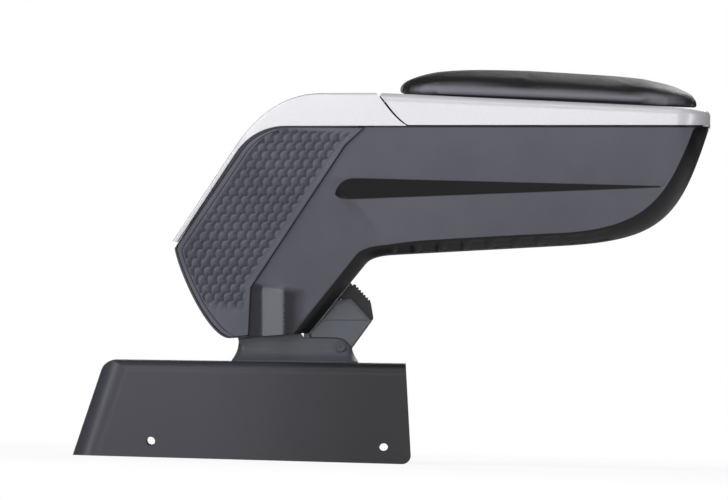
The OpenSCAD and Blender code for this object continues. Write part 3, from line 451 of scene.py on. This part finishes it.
def arm_half(u, l, r, e, k=0.0):
    """One side of a wall section from the back u to the front l, inset by e, with the edge radius r.
    The fourth number is how far a place lies inside the painted shade, the fifth inside the painted highlight
    on the facet."""
    down = l - u
    span = np.linalg.norm(down)
    # The lower edge's round starts at t0, and the nose's corner takes some of the width
    t0 = max(0.06, 1 - r / span)
    corner = NOSE_R - e
    over = min(corner, max(0.0, u[0] - (REACH - NOSE_R)))
    loss = corner - math.sqrt(max(0.0, corner ** 2 - over ** 2))
    # The ledge lies from f1 to f2
    drop = max(1.0, RIM - l[1])
    xm = u[0] + down[0] * max(0.0, min(1.0, (RIM - 48 - u[1]) / min(-1.0, down[1])))
    f1 = max(0.25 * t0, min(0.9 * t0, (RIM - ledge_top(xm)) / drop))
    f2 = max(f1 + 0.02 * t0, min(0.95 * t0, (RIM - ledge_low(xm)) / drop))
    deep = ledge_depth(xm) * ease(20, 50, span - r) * (1 - k)
    half = []
    rows = [0.0, 0.5 / span, 1.0 / span]
    rows += [mix(1.5 / span, f1, i / UPPER_ROWS) for i in range(UPPER_ROWS)]
    rows += [mix(f1, f2, i / LEDGE_ROWS) for i in range(LEDGE_ROWS)]
    rows += [mix(f2, t0, i / LOWER_ROWS) for i in range(LOWER_ROWS + 1)]
    for t in rows:
        p = mix(mix(u, l, t), leg_end(t), k)
        g = 0.0 if t <= f1 else (t - f1) / (f2 - f1) if t <= f2 else (t0 - t) / (t0 - f2 + 0.001)
        # Painted shade: near black on the lower edge's round, the ledge, a line under the rim ahead of the
        # elbow and the hollows; the inner side is painted as shade all over
        painted_shade = max((t - t0) * span, ledge_painted_shade(*p) if k == 0 else -WELL_IN,
                     1.0 - t * span if u[0] > 40 else -WELL_IN, hollow_painted_shade(*p))
        half.append((p[0], half_width(p[1]) - e - loss - deep * g - scoop(p[0], p[1]), p[1],
                     painted_shade if e == 0 else WELL_IN, facet(*p)))
    for i in range(1, BEND_ROWS + 1):
        q = math.sin(math.pi / 2 * i / BEND_ROWS)
        t = t0 + (1 - t0) * q
        p = mix(mix(u, l, t), leg_end(t), k)
        round_in = (r - loss) * max(0.0, 1 - q ** EDGE_FORM) ** (1 / EDGE_FORM)
        sunk = 0.0 if e else pocket(p[0], i / BEND_ROWS)
        y = half_width(p[1]) - e - r + round_in - sunk - scoop(p[0], p[1])
        # The bend rows lie wholly in the painted shade, and outside the facet's painted highlight
        half.append((p[0], max(0.5, y), p[1], WELL_IN, -WELL_IN))
    return half


def wall_ring(outer, inner):
    """A closed ring round the wall: down its outside, up the other side, and back along its inside."""
    other = [(p[0], -p[1]) + p[2:] for p in outer[::-1]]
    return outer + other + [(p[0], -p[1]) + p[2:] for p in inner] + inner[::-1]


def arm_zone(back, back_in, front, n, r0, r1, first=1, leg=False):
    """Wall sections between two curves in the side view, the back and the front or lower one."""
    rings = []
    for i in range(first, n + 1):
        t = i / n
        r = mix(r0, r1, ease(0, 1, t))
        way, l = bezier_heading(front, t), bezier(front, t)
        k = 1 - t if leg else 0.0
        inner = arm_half(bezier(back_in, t), l + vec(-way[1], way[0]) * WALL, r - WALL, WALL, k)
        rings.append(wall_ring(arm_half(bezier(back, t), l, r, 0.0, k), inner))
    return rings


def new_piece(name, points, faces, material, body, replaced, place=on_arm):
    """Makes a mesh of points in millimetres and lets it ride on its body in place of its CAD nodes.
    A point's fourth and fifth numbers are kept as attributes for painted shade and for the facet's painted
    highlight, which the material reads."""
    mesh = bpy.data.meshes.new(name)
    mesh.from_pydata([place(*p[:3]) for p in points], [], faces)
    if len(points[0]) > 3:
        mesh.attributes.new("painted_shade", "FLOAT", "POINT").data.foreach_set("value", [p[3] for p in points])
    if len(points[0]) > 4:
        mesh.attributes.new("facet", "FLOAT", "POINT").data.foreach_set("value", [p[4] for p in points])
    mesh.materials.append(material)
    piece = bpy.data.objects.new(name, mesh)
    bpy.context.scene.collection.objects.link(piece)
    tidy = bmesh.new()
    tidy.from_mesh(mesh)
    bmesh.ops.remove_doubles(tidy, verts=tidy.verts, dist=0.000005)
    bmesh.ops.recalc_face_normals(tidy, faces=tidy.faces)
    tidy.to_mesh(mesh)
    tidy.free()
    mesh.shade_smooth()
    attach(piece, body)
    if replaced:
        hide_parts(*replaced)
    return piece


def ring_faces(count, size, start=0, ends=False):
    """Quads between rings of equal size, one after the other, and where asked a face on each end."""
    faces = []
    for i in range(count - 1):
        for j in range(size):
            a, b = start + i * size + j, start + i * size + (j + 1) % size
            faces.append((a, b, b + size, a + size))
    if ends:
        faces += [tuple(range(start, start + size)),
                  tuple(range(start + (count - 1) * size, start + count * size))]
    return faces


rim_rear = straight(crown_end, vec(OPEN_X, RIM))
rim_mid = straight(vec(OPEN_X, RIM), vec(REACH - 95, RIM))
rim_nose = straight(vec(REACH - 95, RIM), vec(REACH + 0.2, RIM))
nose_in = straight(vec(REACH - 95, RIM), vec(REACH + 0.2 - WALL, RIM))
leg_back = straight(tip_low, shoulder)
rings = (arm_zone(leg_back, leg_back, straight(toe, elbow_a), 40, EDGE_R, EDGE_R, 0, True)
         + arm_zone(back_crown, back_crown, front_elbow, 16, EDGE_R, EDGE_R)
         + arm_zone(rim_rear, rim_rear, straight(elbow_b, elbow_c), 16, EDGE_R, EDGE_R)
         + arm_zone(rim_mid, rim_mid, straight(elbow_c, belly_end), 76, EDGE_R, EDGE_R)
         + arm_zone(rim_nose, nose_in, belly_nose, 52, EDGE_R, NOSE_R))
size = len(rings[0])
half_size = size // 2
last = (len(rings) - 1) * size
faces = ring_faces(len(rings), size)
faces += [(i, size - 1 - i, size - 2 - i, i + 1) for i in range(half_size - 1)]
faces += [tuple(last + j for j in range(half_size)), tuple(last + j for j in range(half_size, size)),
          (last + half_size, last + size - 1, last, last + half_size - 1)]


def apply_painted_light(material, attribute, blend_mm, values):
    """Paints light or shade: gives the shader other values where the points' attribute says that a place lies
    inside a painted area.
    """
    shader = next(node for node in material.node_tree.nodes if node.type == "BSDF_PRINCIPLED")
    inside = add(material, "Attribute", {"attribute_name": attribute}).outputs["Fac"]
    step = add(material, "MapRange", {}, {"Value": inside, "From Min": -blend_mm, "From Max": blend_mm})
    for name, value in values.items():
        outside = shader.inputs[name].links[0].from_socket
        mixed = add(material, "MixRGB", {}, {"Fac": step.outputs[0], "Color1": outside, "Color2": value})
        feed(shader, {name: mixed.outputs[0]})


def grained_with_painted_shade(name, grained, grained_other, smooth):
    """Grained plastic with painted shade: where the attribute says, the colour is drawn dark and the surface
    a little glossier.
    """
    material = moulded(name, grained, grained_other, 0.5, 0.3)
    apply_painted_light(material, "painted_shade", 0.35,
                  {"Base Color": linear(smooth), "Roughness": (0.36, 0.36, 0.36, 1)})
    return material


# Painted shade: the ledge, the lower edge, the line under the rim and the hollows are drawn in #0e0e11
shell_plastic = grained_with_painted_shade("grained_abs_shell", "#4e4e57", "#53535d", "#0e0e11")
# Painted highlight: the facet at the leg's foot is drawn in a paler grey, as if lit
apply_painted_light(shell_plastic, "facet", 0.3, {"Base Color": linear("#67686e")})
arm_shell = new_piece("arm_shell_moulding", [p for ring in rings for p in ring], faces, shell_plastic, "arm",
                      ["arm_shell"])
arm_shell.data.set_sharp_from_angle(angle=math.radians(40))


# Release housing: ABS like the foot's, a moulding of two six-sided cheeks with a chamfered border and
# a raised field, joined by walls below the button and set on the foot. Its grain is the same, a
# little lighter.
PLATE_X, PLATE_Z, PLATE_TILT = -71.3, 74.304, 0.8
plate_c, plate_s = math.cos(math.radians(PLATE_TILT)), math.sin(math.radians(PLATE_TILT))


def on_plate(x, y, z):
    """A place on the foot, in millimetres ahead of, beside and above its middle, in metres."""
    return Vector(((PLATE_X + x * plate_c - z * plate_s) / 1000, y / 1000,
                   (PLATE_Z + x * plate_s + z * plate_c) / 1000))


def on_face(p, q):
    """A place on the button's oblique face, p up along it and q out of it, in the foot's side view."""
    return vec(50 - 0.6884 * p + 0.7254 * q, 38.8 + 0.7254 * p + 0.6884 * q)


def by_leg(along, out):
    """A place beside the leg's front, in the foot's side view: up along it from the toe, and out from it."""
    return vec(10.97 + 0.6205 * along + 0.7843 * out, 22.11 + 0.7843 * along - 0.6205 * out)


def inset(outline, by):
    """A side view outline drawn in by a distance, corner by corner."""
    result, count = [], len(outline)
    for i in range(count):
        a, b, c = (vec(*outline[(i + j) % count]) for j in (-1, 0, 1))
        m, n = (b - a) / np.linalg.norm(b - a), (c - b) / np.linalg.norm(c - b)
        m, n = vec(-m[1], m[0]), vec(-n[1], n[0])
        result.append(b + (m + n) * by / max(0.3, 1 + np.dot(m, n)))
    return result


def stack(outline, levels, points, faces):
    """Adds a solid of one outline, drawn anticlockwise. Each level has its place across the arm and how
    far the outline is drawn in there."""
    faces += ring_faces(len(levels), len(outline), len(points), True)
    for y, by in levels:
        points += [(x, y, z) for x, z in inset(outline, by)]


LEG_GAP = 0.08
housing = [(11.3, 18.06), (30.2, 18.06), (36.05, 16.87), (42.75, 10.73), (57.4, 31.4), (41.3, 48.6),
           by_leg(31.3, LEG_GAP), by_leg(0.2, LEG_GAP)]
beside_buffer = [(12.6, 18.06)] + housing[1:-1] + [by_leg(2.6, LEG_GAP)]
field = [(19.6, 31.6), (54.4, 32.0), (40.8, 46.5), (31.4, 44.7)]
lower_block = [(14, 18.2), (30.2, 18.2), (36.4, 17.2), (42.6, 11.3),
               on_face(-13.4, -22.4), on_face(14.2, -22.4)]
front_wall = [(42.2, 11.8), (43.0, 11.3), on_face(-12.1, -12), on_face(-10.9, -12), on_face(-10.9, -22)]
points, faces = [], []
for side in (-1, 1):
    for outline, levels in ((beside_buffer, ((19.4, 0.3), (19.7, 0), (21.7, 0))),
                            (housing, ((21.6, 0), (26.1, 0), (27.0, 1.1))),
                            (field, ((26.9, 0), (27.1, 0), (27.5, 0.5))),
                            (lower_block, ((5.8, 0.2), (6.0, 0), (19.5, 0)))):
        stack(outline, [(side * y, by) for y, by in levels], points, faces)
stack(front_wall, [(-19.5, 0), (19.5, 0)], points, faces)
housing_plastic = moulded("grained_abs_housing", "#4c4f57", "#53555d", 0.45)
piece = new_piece("release_housing_cheeks", points, faces, housing_plastic, "root",
                  ["release_housing"], on_plate)
piece.data.set_sharp_from_angle(angle=math.radians(20))


# Release button: black ABS, moulded with ribs for the thumb and with the rod that pushes the lever. It
# slides between the cheeks, and its ribs catch the light as fine lines.
RIBS, RIB_PITCH, RIB_DEPTH, RIB_TOP = 7, 2.6, 0.9, 18.2
FACE_OUT, BUTTON_HALF, BUTTON_ROUND = 9.9, 19.0, 0.4
ROD_SIDES = 24


def around(count):
    """The angles of a circle's points."""
    return [math.tau * i / count for i in range(count)]


def face_point(p, q, y=0.0):
    """A place on the button's face in the foot's side view, with its place across the arm."""
    x, z = on_face(p, q)
    return x, y, z


thumb = [on_face(RIB_TOP - i * RIB_PITCH - down, FACE_OUT - deep) for i in range(RIBS)
         for down, deep in ((0, 0), (1.3, 0), (1.6, RIB_DEPTH), (2.3, RIB_DEPTH))]
outline = (thumb + [on_face(1.0, 9.7), on_face(-8.9, 3.2), on_face(-10.1, 2)]
           + [on_face(-10.1, -12), on_face(16.2, -12), on_face(17.1, -6), on_face(18.8, 6),
              on_face(19.2, 9.2)])[::-1]
points, faces = [], []
stack(outline, [(-BUTTON_HALF, 0.25), (BUTTON_ROUND - BUTTON_HALF, 0), (BUTTON_HALF - BUTTON_ROUND, 0),
                (BUTTON_HALF, 0.25)], points, faces)
faces += ring_faces(3, ROD_SIDES, len(points), True)
for q, r in ((-11.9, 2.8), (-28.8, 2.8), (-29.6, 2.0)):
    points += [face_point(r * math.cos(a), q, r * math.sin(a)) for a in around(ROD_SIDES)]
button_plastic = moulded("ribbed_black_abs", "#1b1b1e", "#202023", 0.42)
piece = new_piece("release_button_ribbed", points, faces, button_plastic, "button",
                  ["release_button"], on_plate)
piece.data.set_sharp_from_angle(angle=math.radians(25))


# Spring under the button: steel wire of 1 mm, wound with closed ends and zinc plated, which gives
# a bright coil.
SPRING_R, WIRE_R, SPRING_TURNS, WIRE_SIDES, TURN_STEPS = 4.4, 0.5, 5, 10, 24
SPRING_LOW, SPRING_HIGH, CLOSED_SHARE, PRESSED = -21.9, -12.1, 0.12, 3.05
points, steps = [], SPRING_TURNS * TURN_STEPS
for i in range(steps + 1):
    a = math.tau * i / TURN_STEPS
    climb = min(1, max(0, (i / steps - CLOSED_SHARE) / (1 - 2 * CLOSED_SHARE)))
    q = mix(SPRING_LOW + WIRE_R, SPRING_HIGH - WIRE_R, climb)
    for b in around(WIRE_SIDES):
        r = SPRING_R + WIRE_R * math.cos(b)
        points.append(face_point(r * math.cos(a), q + WIRE_R * math.sin(b) * 0.98, r * math.sin(a)))
faces = ring_faces(steps + 1, WIRE_SIDES, 0, True)
spring = new_piece("button_spring_wire", points, faces, zinc, "root", ["button_spring"],
                   on_plate)
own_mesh(spring)


# Guide behind the button: a thin plate with two wings, of the same black ABS, set into the housing.
# It closes the housing towards the leg, and its black stands in for the shade there.
points, faces = [], []
stack([by_leg(9, LEG_GAP), by_leg(48.4, LEG_GAP), by_leg(48.0, 2.0), by_leg(9, 2.0)], [(-19.2, 0), (19.2, 0)],
      points, faces)
wing = [by_leg(32.2, 0.1), by_leg(48.2, 0.1), by_leg(47.6, 3.4), by_leg(35.5, 3.4)]
for side in (-1, 1):
    stack(wing, [(side * 19.1, 0), (side * 20.2, 0)], points, faces)
piece = new_piece("button_guide_shade_plate", points, faces, button_plastic, "root", [], on_plate)
piece.data.set_sharp_from_angle(angle=math.radians(20))


# Lip on the foot's top: a small rib on each side, moulded with the foot, that closes the gap under the
# leg's toe.
lip = [(6.3, 18.06), (11.0, 18.06), (10.9, 21.98), (7.9, 21.74), (6.4, 22.6)]
points, faces = [], []
for side in (-1, 1):
    stack(lip, [(side * y, by) for y, by in ((26.2, 0.2), (26.4, 0), (27.6, 0), (27.9, 0.3))], points, faces)
piece = new_piece("foot_top_lip", points, faces, foot_plastic, "root", [], on_plate)
piece.data.set_sharp_from_angle(angle=math.radians(25))


# Caps on the lever's pin: ABS like the foot's, moulded round with a dimple in the middle, and pressed
# over the pin's ends.
CAP_SIDES, PIN_X, PIN_Z = 40, 34.0, 11.9
CAP_PROFILE = ((0, 4.0), (30.2, 4.0), (30.5, 3.7), (30.5, 3.1), (30.2, 2.9), (30.2, 1.0), (29.8, 0.5))
points, faces = [], []
for side in (-1, 1):
    faces += ring_faces(len(CAP_PROFILE), CAP_SIDES, len(points), True)
    for y, r in CAP_PROFILE:
        for a in around(CAP_SIDES):
            z = PIN_Z + r * math.sin(a)
            # The first ring lies on the foot's wall, which flares towards its base
            wall = 28.15 + 8 * max(0.0, 1 - (z - 1) / 14) ** 2.2
            points.append((PIN_X + r * math.cos(a), side * (y or max(28.75, wall)), z))
piece = new_piece("lever_pin_caps", points, faces, foot_plastic, "root", [], on_plate)
piece.data.set_sharp_from_angle(angle=math.radians(35))


# Bin mat: black needle felt of 1.5 mm, cut flat with rounded corners and laid loose on the bin's floor.
# Its fibres make it matt and fluffy, and it lies a little uneven.
felt, felt_shader, felt_place = new_material("black_needle_felt", "#1b1b1e", 0.95, 0.1)
fibres = add(felt, "TexNoise", {},
             {"Vector": felt_place, "Scale": 1 / 0.0012, "Detail": 6.0, "Roughness": 0.7})
felt_bump = add(felt, "Bump", {}, {"Height": fibres.outputs[0], "Strength": 0.8, "Distance": 0.0004})
felt_tint = add(felt, "ValToRGB", {}, {"Fac": fibres.outputs[0]})
felt_tint.color_ramp.elements[0].color = linear("#141416")
felt_tint.color_ramp.elements[1].color = linear("#2a2a2e")
feed(felt_shader, {"Base Color": felt_tint.outputs[0], "Normal": felt_bump.outputs[0]})
MAT_X, MAT_HALF, MAT_Z, MAT_THICK = (91.2, 243.4), 39.3, 102.5, 1.5
MAT_REAR_R, MAT_FRONT_R, MAT_WAVE = 9.0, 14.0, 0.12
plan = []
for front, side, first in ((True, 1, 0), (False, 1, 90), (False, -1, 180), (True, -1, 270)):
    r = MAT_FRONT_R if front else MAT_REAR_R
    cx, cy = (MAT_X[1] - r if front else MAT_X[0] + r), side * (MAT_HALF - r)
    plan += [(cx + r * math.cos(math.radians(first + 9 * i)), cy + r * math.sin(math.radians(first + 9 * i)))
             for i in range(11)]
mat_middle = (MAT_X[0] + MAT_X[1]) / 2
levels = [(0.05, 0.995), (0.3, 1.0), (MAT_THICK - 0.4, 1.0), (MAT_THICK, 0.993)]
levels += [(MAT_THICK, 1 - i / 12) for i in range(1, 12)]
points = []
for z, scale in levels:
    for x, y in plan:
        x, y = mat_middle + (x - mat_middle) * scale, y * scale
        wave = MAT_WAVE * math.sin(x / 11) * math.cos(y / 9) if z > MAT_THICK / 2 else 0.0
        points.append((x, y, MAT_Z + z + wave))
faces = ring_faces(len(levels), len(plan), 0, True)
mat = new_piece("bin_mat_felt", points, faces, felt, "arm", ["bin_mat"])


# Side panels: ABS, 1.5 mm, clipped over the rear of the leg from the trim to a slanted seam. The tool
# was engraved with rows of overlapping scales inside a plain border, and they catch the light as
# small crescents. Shade is painted darker in the valleys between them, in the border line and round the rim.
PANEL_T, PANEL_GAP = 1.5, 0.15
seam_low, seam_bend = vec(-35.2, 19), vec(-33.4, 55)
seam_high, seam_end = vec(38, RIM - 13.8), vec(52, RIM - 1)


def panel_front(t):
    """The panel's front edge in the side view, from its lower end to its upper one."""
    if t < 0.25:
        return mix(seam_low, seam_bend, t / 0.25)
    if t < 0.88:
        return mix(seam_bend, seam_high, (t - 0.25) / 0.63)
    return mix(seam_high, seam_end, (t - 0.88) / 0.12)


def panel_back(t):
    """The panel's rear edge in the side view, from its lower end to its upper one."""
    if t < 0.3:
        return bezier([p + vec(1, 1) for p in heel[::-1]], t / 0.3)
    if t < 0.75:
        return mix(tip_low + vec(1.6, 0.6), shoulder + vec(1.6, -1.2), (t - 0.3) / 0.45)
    return bezier([p + vec(1.6, -1.2) for p in back_crown], (t - 0.75) / 0.25)


SCALE_LONG, SCALE_WIDE, SCALE_DEPTH, BORDER = 8.0, 5.8, 1.3, 5.5
spine_left = vec(-spine[1], spine[0])


def scale_edge(u, row):
    """How far the free edges of a row of scales reach across it, at a place along the row."""
    return 0.5 * abs(math.sin(math.pi * (u + 0.5 * (row % 2)))) + 0.06 * math.sin(2.3 * u + row)


def scales(x, z):
    """Height of the scales, from 0 where one comes out from under its neighbours to 1 at its free edge."""
    u, v = np.dot(vec(x, z), spine) / SCALE_LONG, np.dot(vec(x, z), spine_left) / SCALE_WIDE
    row = math.floor(v)
    inside, edge = v - row, scale_edge(u, row)
    if inside < edge:
        before = scale_edge(u, row - 1)
        t = (inside + 1 - before) / (edge + 1 - before)
    else:
        t = (inside - edge) / (1 + scale_edge(u, row + 1) - edge)
    return ease(0.0, 0.8, t) * (1 - ease(0.86, 1.0, t))


PANEL_ROWS, PANEL_COLUMNS, PANEL_RUN = 260, 130, 190.0
RIM_ROUND, RIM_DROP, LINE_DEPTH = 1.3, 1.1, 0.5


def panel_face(x, z, t, s, width):
    """Depth of the panel's outer face at a place, and how far the place lies inside the painted shade."""
    from_back, from_front = s * width, (1 - s) * width
    margin = ease(BORDER, BORDER + 1.6, from_back) * ease(3.0, 7.0, from_front)
    sunk = (1 - scales(x, z)) * margin * ease(0.12, 0.16, t) * (1 - ease(0.93, 0.97, t))
    line = ease(BORDER - 1.6, BORDER - 0.8, from_back) * (1 - ease(BORDER - 0.8, BORDER, from_back))
    to_edge = min(from_back, from_front, min(t, 1 - t) * PANEL_RUN)
    rim = 1 - min(1.0, to_edge / RIM_ROUND)
    depth = (SCALE_DEPTH * sunk + LINE_DEPTH * line * ease(0.02, 0.06, t)
             + RIM_DROP * (1 - math.sqrt(max(0.0, 1 - rim ** 2))))
    # Painted shade: the rim round the panel's edge, the border line and the valleys between the scales are
    # drawn darker
    valley = 0.55 * sunk + 0.8 * line
    return depth, max(RIM_ROUND * 0.8 - to_edge, -0.35 + 0.7 * valley)


# Painted shade: drawn in #17171b, and a little glossier there
panel_plastic = grained_with_painted_shade("scale_textured_abs", "#50525b", "#5a5b66", "#17171b")
row = PANEL_COLUMNS + 1
sheet = row * (PANEL_ROWS + 1)
rim_loop = list(range(row)) + [i * row + row - 1 for i in range(1, PANEL_ROWS + 1)]
rim_loop += [PANEL_ROWS * row + j for j in range(row - 2, -1, -1)]
rim_loop += [i * row for i in range(PANEL_ROWS - 1, 0, -1)]
for side, name in ((1, "left"), (-1, "right")):
    points, panel_faces = [], []
    for layer in ("outer", "inner"):
        for i in range(PANEL_ROWS + 1):
            t = i / PANEL_ROWS
            a, b = panel_back(t), panel_front(t)
            width = np.linalg.norm(b - a)
            for j in range(PANEL_COLUMNS + 1):
                x, z = mix(a, b, j / PANEL_COLUMNS)
                # The panel's inner side is painted as shade all over
                y, painted_shade = half_width(z) + PANEL_GAP, WELL_IN
                if layer == "outer":
                    depth, painted_shade = panel_face(x, z, t, j / PANEL_COLUMNS, width)
                    y += PANEL_T + 0.2 - depth
                points.append((x, side * y, z, painted_shade))
    for i in range(PANEL_ROWS):
        for j in range(PANEL_COLUMNS):
            c = [i * row + j, i * row + j + 1, (i + 1) * row + j + 1, (i + 1) * row + j]
            panel_faces += [tuple(c), tuple(sheet + v for v in c[::-1])]
    for a, b in zip(rim_loop, rim_loop[1:] + rim_loop[:1]):
        panel_faces.append((a, a + sheet, b + sheet, b))
    panel = new_piece(name + "_textured_panel", points, panel_faces, panel_plastic, "arm",
                      [name + "_side_panel"])
    panel.data.set_sharp_from_angle(angle=math.radians(50))


# Trim and lid frame: ABS, painted with a silver lacquer whose fine flake gives a bright satin
# sheen under a clear coat. The trim is clipped along the leg's back, the frame slides on its carrier.
def silver_lacquer():
    """Silver lacquer: flakes of 0.7 mm, drawn coarser than the real ones so that they show a little."""
    material, shader, place = new_material("silver_lacquer", "#cacacf", 0.34, 0.5, 0.2)
    shader.inputs["Coat Weight"].default_value = 0.35
    shader.inputs["Coat Roughness"].default_value = 0.15
    flake = add(material, "TexVoronoi", {}, {"Vector": place, "Scale": 1 / 0.0007})
    tint = add(material, "ValToRGB", {}, {"Fac": flake.outputs["Color"]})
    tint.color_ramp.elements[0].color = linear("#c8c8cd")
    tint.color_ramp.elements[1].color = linear("#cfcfd4")
    gloss = add(material, "MapRange", {}, {"Value": flake.outputs["Distance"], "To Min": 0.3, "To Max": 0.42})
    feed(shader, {"Base Color": tint.outputs[0], "Roughness": gloss.outputs[0]})
    return material


silver = silver_lacquer()
dress(["rear_trim", "lid_frame"], silver, 0.3, 35)


# Dark strips in the seam between trim and lid: black rubber strips, one behind the trim's edge and one behind
# the lid's, put there as painted shade so that the seam looks dark.
seam = [vec(61.4, 201.4), vec(68, 193.0), vec(75, RIM + 4.6), vec(86, RIM - 0.8)]
seam_line = [p for p in (bezier(seam, i / 12) for i in range(13)) if 177.7 < p[1] < 195.0]
# Each strip's body, its rear and front faces from the seam's line, and its sides across the arm
for name, body, rear, front, near, far in (("trim_seam_shade_strip", "arm", -0.8, 0.05, 50.3, 55.7),
                                           ("lid_seam_shade_strip", "lid", 0.0, 0.8, 56.0, 58.5)):
    strip = [p + vec(front, 0) for p in seam_line[::-1]] + [p + vec(rear, 0) for p in seam_line]
    points, faces = [], []
    for side in (-1, 1):
        stack(strip, [(side * near, 0), (side * far, 0)], points, faces)
    new_piece(name, points, faces, rubber, body, [])


# Pad: foam over a board, in a stretched cover of black leatherette, embossed with a fine leather grain.
# It is crowned along its length and narrows at both ends, and its board is screwed to the lid frame.
def leatherette():
    """Embossed leatherette: pores of 1.7 mm, drawn coarse enough to show, and soft folds over 4 mm."""
    material, shader, place = new_material("black_leatherette", "#1c1c1f", 0.42, 0.5)
    pores = add(material, "TexVoronoi", {"feature": "DISTANCE_TO_EDGE"},
                {"Vector": place, "Scale": 1 / 0.0017})
    folds = add(material, "TexNoise", {}, {"Vector": place, "Scale": 1 / 0.004, "Detail": 4.0})
    height = add(material, "Math", {"operation": "MULTIPLY_ADD"},
                 {0: folds.outputs[0], 1: 0.25, 2: pores.outputs[0]})
    bump = add(material, "Bump", {}, {"Height": height.outputs[0], "Strength": 0.6, "Distance": 0.00035})
    tint = add(material, "ValToRGB", {}, {"Fac": folds.outputs[0]})
    tint.color_ramp.elements[0].color = linear("#0d0d0f")
    tint.color_ramp.elements[1].color = linear("#151517")
    # Painted highlight: the sides, where they face sideways, are drawn much greyer, as a sheen of light
    side = add(material, "Attribute", {"attribute_name": "painted_side_sheen"}).outputs["Fac"]
    colour = add(material, "MixRGB", {},
                 {"Fac": side, "Color1": tint.outputs[0], "Color2": linear("#6c6c75")})
    gloss = add(material, "MapRange", {}, {"Value": pores.outputs[0], "To Min": 0.5, "To Max": 0.38})
    feed(shader, {"Base Color": colour.outputs[0], "Normal": bump.outputs[0], "Roughness": gloss.outputs[0]})
    return material


KNUCKLE_X, LID_TOP_Z, LID_SLOPE = 65.4, 201.4, 2.7
PAD_REAR, PAD_LENGTH, PAD_HALF, PAD_LOW = 9.6, 229.0, 56.0, 0.25
slope_c, slope_s = math.cos(math.radians(LID_SLOPE)), math.sin(math.radians(LID_SLOPE))


def on_lid(x, y, z):
    """A place on the lid's sloping top, in millimetres, as a place on the arm."""
    return (KNUCKLE_X + x * slope_c + z * slope_s, y, LID_TOP_Z - x * slope_s + z * slope_c)


# Height of the pad along its length, read off the side view
PAD_SIDE = ((0, 3.0), (1, 6.6), (4, 11.2), (10, 14.2), (18, 16.4), (36, 19.9), (54, 21.4), (72, 21.6),
            (120, 21.2), (160, 20.6), (190, 19.8), (205, 18.2), (215, 16.4), (222, 13.4), (227, 9.0),
            (229, 3.0))


def pad_height(x):
    """Height of the pad above the lid, at a place along it."""
    return float(np.interp(x, [p[0] for p in PAD_SIDE], [p[1] for p in PAD_SIDE]))


def pad_half(x):
    """Half the pad's width at a place along it, narrower towards both ends."""
    d = min(x / 34, (PAD_LENGTH - x) / 48, 1.0)
    return PAD_HALF * (1 - (1 - d) ** 2.4) ** (1 / 2.4)


PAD_STATIONS, PAD_ARC, ARC_FORM = 90, 40, 0.55
# The cover starts smaller by this on each side, because the simulation blows it up
START_INSET = 1.6
pad_points = []
for i in range(PAD_STATIONS + 1):
    x = PAD_LENGTH * (0.5 - 0.5 * math.cos(math.pi * i / PAD_STATIONS))
    b, h = max(8.0, pad_half(x)) - START_INSET, pad_height(x) - START_INSET
    along = PAD_REAR + mix(START_INSET, PAD_LENGTH - START_INSET, x / PAD_LENGTH)
    pad_points.append(on_lid(along, b - 2, PAD_LOW))
    for j in range(PAD_ARC + 1):
        c, s = math.cos(math.pi * j / PAD_ARC), math.sin(math.pi * j / PAD_ARC)
        pad_points.append(on_lid(along, b * math.copysign(abs(c) ** ARC_FORM, c),
                                 0.6 + (h - 0.6) * s ** ARC_FORM))
    pad_points.append(on_lid(along, 2 - b, PAD_LOW))
pad_faces = ring_faces(PAD_STATIONS + 1, PAD_ARC + 3, 0, True)
pad = new_piece("arm_pad_cover", pad_points, pad_faces, leatherette(), "lid",
                ["arm_pad"])

REMESH_MM, PRESSURE, MOST_MM, FRAMES, HELD_HEIGHT = 4.5, 4.0, 2.4, 20, 0.0026
lid_tip = math.atan2(slide_axis[2], slide_axis[0]) - math.radians(LID_SLOPE)


def inflate(piece):
    """Blows the cover up by a cloth simulation from its smaller start, held along its lower edge."""
    scene, layer = bpy.context.scene, bpy.context.view_layer
    coarse = piece.modifiers.new("even mesh", "REMESH")
    coarse.mode = "VOXEL"
    coarse.voxel_size = REMESH_MM / 1000
    layer.update()
    mesh = bpy.data.meshes.new_from_object(piece.evaluated_get(bpy.context.evaluated_depsgraph_get()))
    piece.modifiers.clear()
    piece.data = mesh
    start = [v.co.copy() for v in mesh.vertices]
    above = Vector((-math.sin(lid_tip), 0, math.cos(lid_tip)))
    base = on_arm(*on_lid(PAD_REAR + PAD_LENGTH / 2, 0, 0))
    held = [i for i, p in enumerate(start) if (p - base).dot(above) < HELD_HEIGHT]
    piece.vertex_groups.new(name="held").add(held, 1.0, "REPLACE")
    cloth = piece.modifiers.new("inflation", "CLOTH")
    settings = cloth.settings
    settings.vertex_group_mass = "held"
    settings.use_pressure = True
    settings.uniform_pressure_force = PRESSURE
    settings.tension_stiffness = settings.compression_stiffness = 12.0
    settings.bending_stiffness = 0.6
    settings.effector_weights.gravity = 0.0
    cloth.collision_settings.use_collision = False
    cloth.point_cache.frame_end = FRAMES
    for frame_number in range(1, FRAMES + 1):
        scene.frame_set(frame_number)
    layer.update()
    blown = piece.evaluated_get(bpy.context.evaluated_depsgraph_get()).data
    for vertex, place, target in zip(mesh.vertices, start, [v.co.copy() for v in blown.vertices]):
        move = target - place
        vertex.co = place + move * min(1.0, MOST_MM / 1000 / max(1e-9, move.length))
    piece.modifiers.clear()
    scene.frame_set(1)


inflate(pad)
finer = pad.modifiers.new("smooth cover", "SUBSURF")
finer.levels = finer.render_levels = 1
# Painted highlight: how much of the greyer side colour each point takes, from how far its normal faces
# sideways and not up
painted_side_sheen = pad.data.attributes.new("painted_side_sheen", "FLOAT", "POINT")
painted_side_sheen.data.foreach_set("value", [(1 - ease(0.1, 0.75, v.normal.z)) * ease(0.35, 0.9, abs(v.normal.y))
                                for v in pad.data.vertices])
pad.data.shade_smooth()
